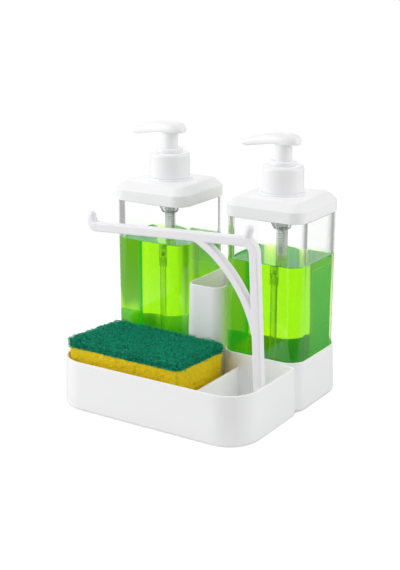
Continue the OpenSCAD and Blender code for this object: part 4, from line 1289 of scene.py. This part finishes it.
def white_floor(tree):
    """A matt white floor. The lens sees it lifted to white, fully from half a metre out and less
    under the object, where its shadow stays. Clear and glossy pieces see in it the studio's
    brightness in the direction where they meet it, which draws their edges."""
    spot = add(tree, "NewGeometry").outputs["Position"]
    away = add(tree, "VectorMath", {0: spot}, operation="LENGTH").outputs["Value"]
    side = add(tree, "VectorMath", {0: spot, 1: FLOOR_POINT}, operation="SUBTRACT")
    way = add(tree, "VectorMath", {0: side}, operation="NORMALIZE")
    far = add(tree, "MapRange", {
        "Value": away, "From Min": 0.12, "From Max": 0.5,
    }, interpolation_type="SMOOTHSTEP")
    seen = add(tree, "LightPath")
    lens = seen.outputs["Is Camera Ray"]
    lift = add(tree, "Emission", {
        "Strength": add(tree, "Math", {0: lens, 1: 0.5}, operation="MULTIPLY"),
    })
    matt = add(tree, "BsdfDiffuse", {"Color": linear("#E4E4E4")})
    near = add(tree, "AddShader", {0: matt, 1: lift})
    lens_view = add(tree, "MixShader", {
        0: add(tree, "Math", {0: far, 1: lens}, operation="MULTIPLY"), 1: near,
        2: add(tree, "Emission", {"Strength": 1.0}),
    })
    return {"Surface": add(tree, "MixShader", {
        0: seen_clearly(tree, seen), 1: lens_view,
        2: add(tree, "Emission", {"Strength": seen_behind(tree, seen, way)}),
    })}


def lay_floor():
    """One large square at the height of the object's feet."""
    h = FLOOR_HALF
    mesh = bpy.data.meshes.new("floor")
    mesh.from_pydata([(-h, -h, 0), (h, -h, 0), (h, h, 0), (-h, h, 0)], [], [(0, 1, 2, 3)])
    mesh.materials.append(finished("floor_white", white_floor))
    obj = bpy.data.objects.new("floor", mesh)
    bpy.context.scene.collection.objects.link(obj)


def light_studio(backdrop, fill):
    """A white studio. The lens itself sees plain white. Matt surfaces are lit a little more from
    the sides than from the front and back, and clear and glossy pieces see a bright window
    behind the object."""
    world = bpy.data.worlds.new("studio")
    bpy.context.scene.world = world
    world.use_nodes = True
    tree = world.node_tree
    tree.nodes.clear()
    way = add(tree, "TexCoord").outputs["Generated"]
    flat = add(tree, "VectorMath", {0: way, 1: (1.0, 1.0, 0.0)}, operation="MULTIPLY")
    heading = add(tree, "VectorMath", {0: flat}, operation="NORMALIZE")
    seen = add(tree, "LightPath")
    soft = add(tree, "Math", {0: round_about(tree, way, ALL_ROUND), 1: fill}, operation="MULTIPLY")
    indirect = add(tree, "Mix", {
        0: seen_clearly(tree, seen), 2: soft, 3: seen_behind(tree, seen, heading),
    }, data_type="FLOAT")
    level = add(tree, "Mix", {
        0: seen.outputs["Is Camera Ray"], 2: indirect, 3: backdrop,
    }, data_type="FLOAT")
    add(tree, "OutputWorld", {
        "Surface": add(tree, "Background", {"Color": (1, 1, 1, 1), "Strength": level}),
    })


def build_stage(sizes, look):
    """The studio's light, the floor, three lamps and the camera."""
    scene, stage = bpy.context.scene, sizes.stage
    light_studio(sizes.looks.backdrop, stage.fill)
    lay_floor()
    for name, (place, size) in LAMPS.items():
        light = bpy.data.lights.new(f"lamp_{name}", "AREA")
        light.shape, light.size, light.size_y = "RECTANGLE", size, size
        light.energy = getattr(stage, name)
        aimed(light.name, light, place, LIT)
    lens = bpy.data.cameras.new("camera")
    lens.sensor_fit, lens.sensor_width, lens.lens = "AUTO", 36.0, stage.lens
    lens.clip_start, lens.clip_end = 0.01, 50
    scene.camera = aimed("camera", lens, CAMERA_AT, CAMERA_AIM)
    scene.view_settings.view_transform = "Standard"
    # Light has to cross jar, soap and pump and be turned back inside them
    paths = scene.cycles
    paths.max_bounces, paths.transmission_bounces, paths.glossy_bounces = 24, 24, 10
    paths.diffuse_bounces, paths.transparent_max_bounces = 10, 16


class CADDY_OT_stage(CaddyOperator, bpy.types.Operator):
    """Floor, backdrop, lamps and camera"""

    bl_idname = "caddy.stage"
    bl_label = "Stage"

    def execute(self, context):
        return carry_out(build_stage, context.scene)


OPERATORS = (
    CADDY_OT_stage, CADDY_OT_tray, CADDY_OT_rail, CADDY_OT_jars, CADDY_OT_lids, CADDY_OT_pumps,
    CADDY_OT_sponge,
)


class CADDY_PT_panel(bpy.types.Panel):
    """The caddy's sizes, finishes and pieces in the sidebar"""

    bl_idname = "CADDY_PT_panel"
    bl_label = "Soap pump caddy"
    bl_space_type = "VIEW_3D"
    bl_region_type = "UI"
    bl_category = "Caddy"

    def draw(self, context):
        for operator in OPERATORS:
            self.layout.operator(operator.bl_idname)
        for key, group in GROUPS.items():
            box = self.layout.box()
            box.label(text=key.replace("_", " ").capitalize())
            for name in group.__annotations__:
                box.prop(getattr(context.scene, key), name)


def register():
    for group in GROUPS.values():
        bpy.utils.register_class(group)
    for key, group in GROUPS.items():
        setattr(bpy.types.Scene, key, PointerProperty(type=group))
    for cls in (*OPERATORS, CADDY_PT_panel):
        bpy.utils.register_class(cls)


def unregister():
    for cls in (CADDY_PT_panel, *reversed(OPERATORS)):
        bpy.utils.unregister_class(cls)
    for key in GROUPS:
        delattr(bpy.types.Scene, key)
    for group in reversed(list(GROUPS.values())):
        bpy.utils.unregister_class(group)


def main():
    register()
    for name in ("stage", "tray", "rail", "jars", "lids", "pumps", "sponge"):
        if getattr(bpy.ops.caddy, name)() != {"FINISHED"}:
            raise RuntimeError(f"{name} didn't finish")
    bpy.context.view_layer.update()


if __name__ == "__main__":
    main()
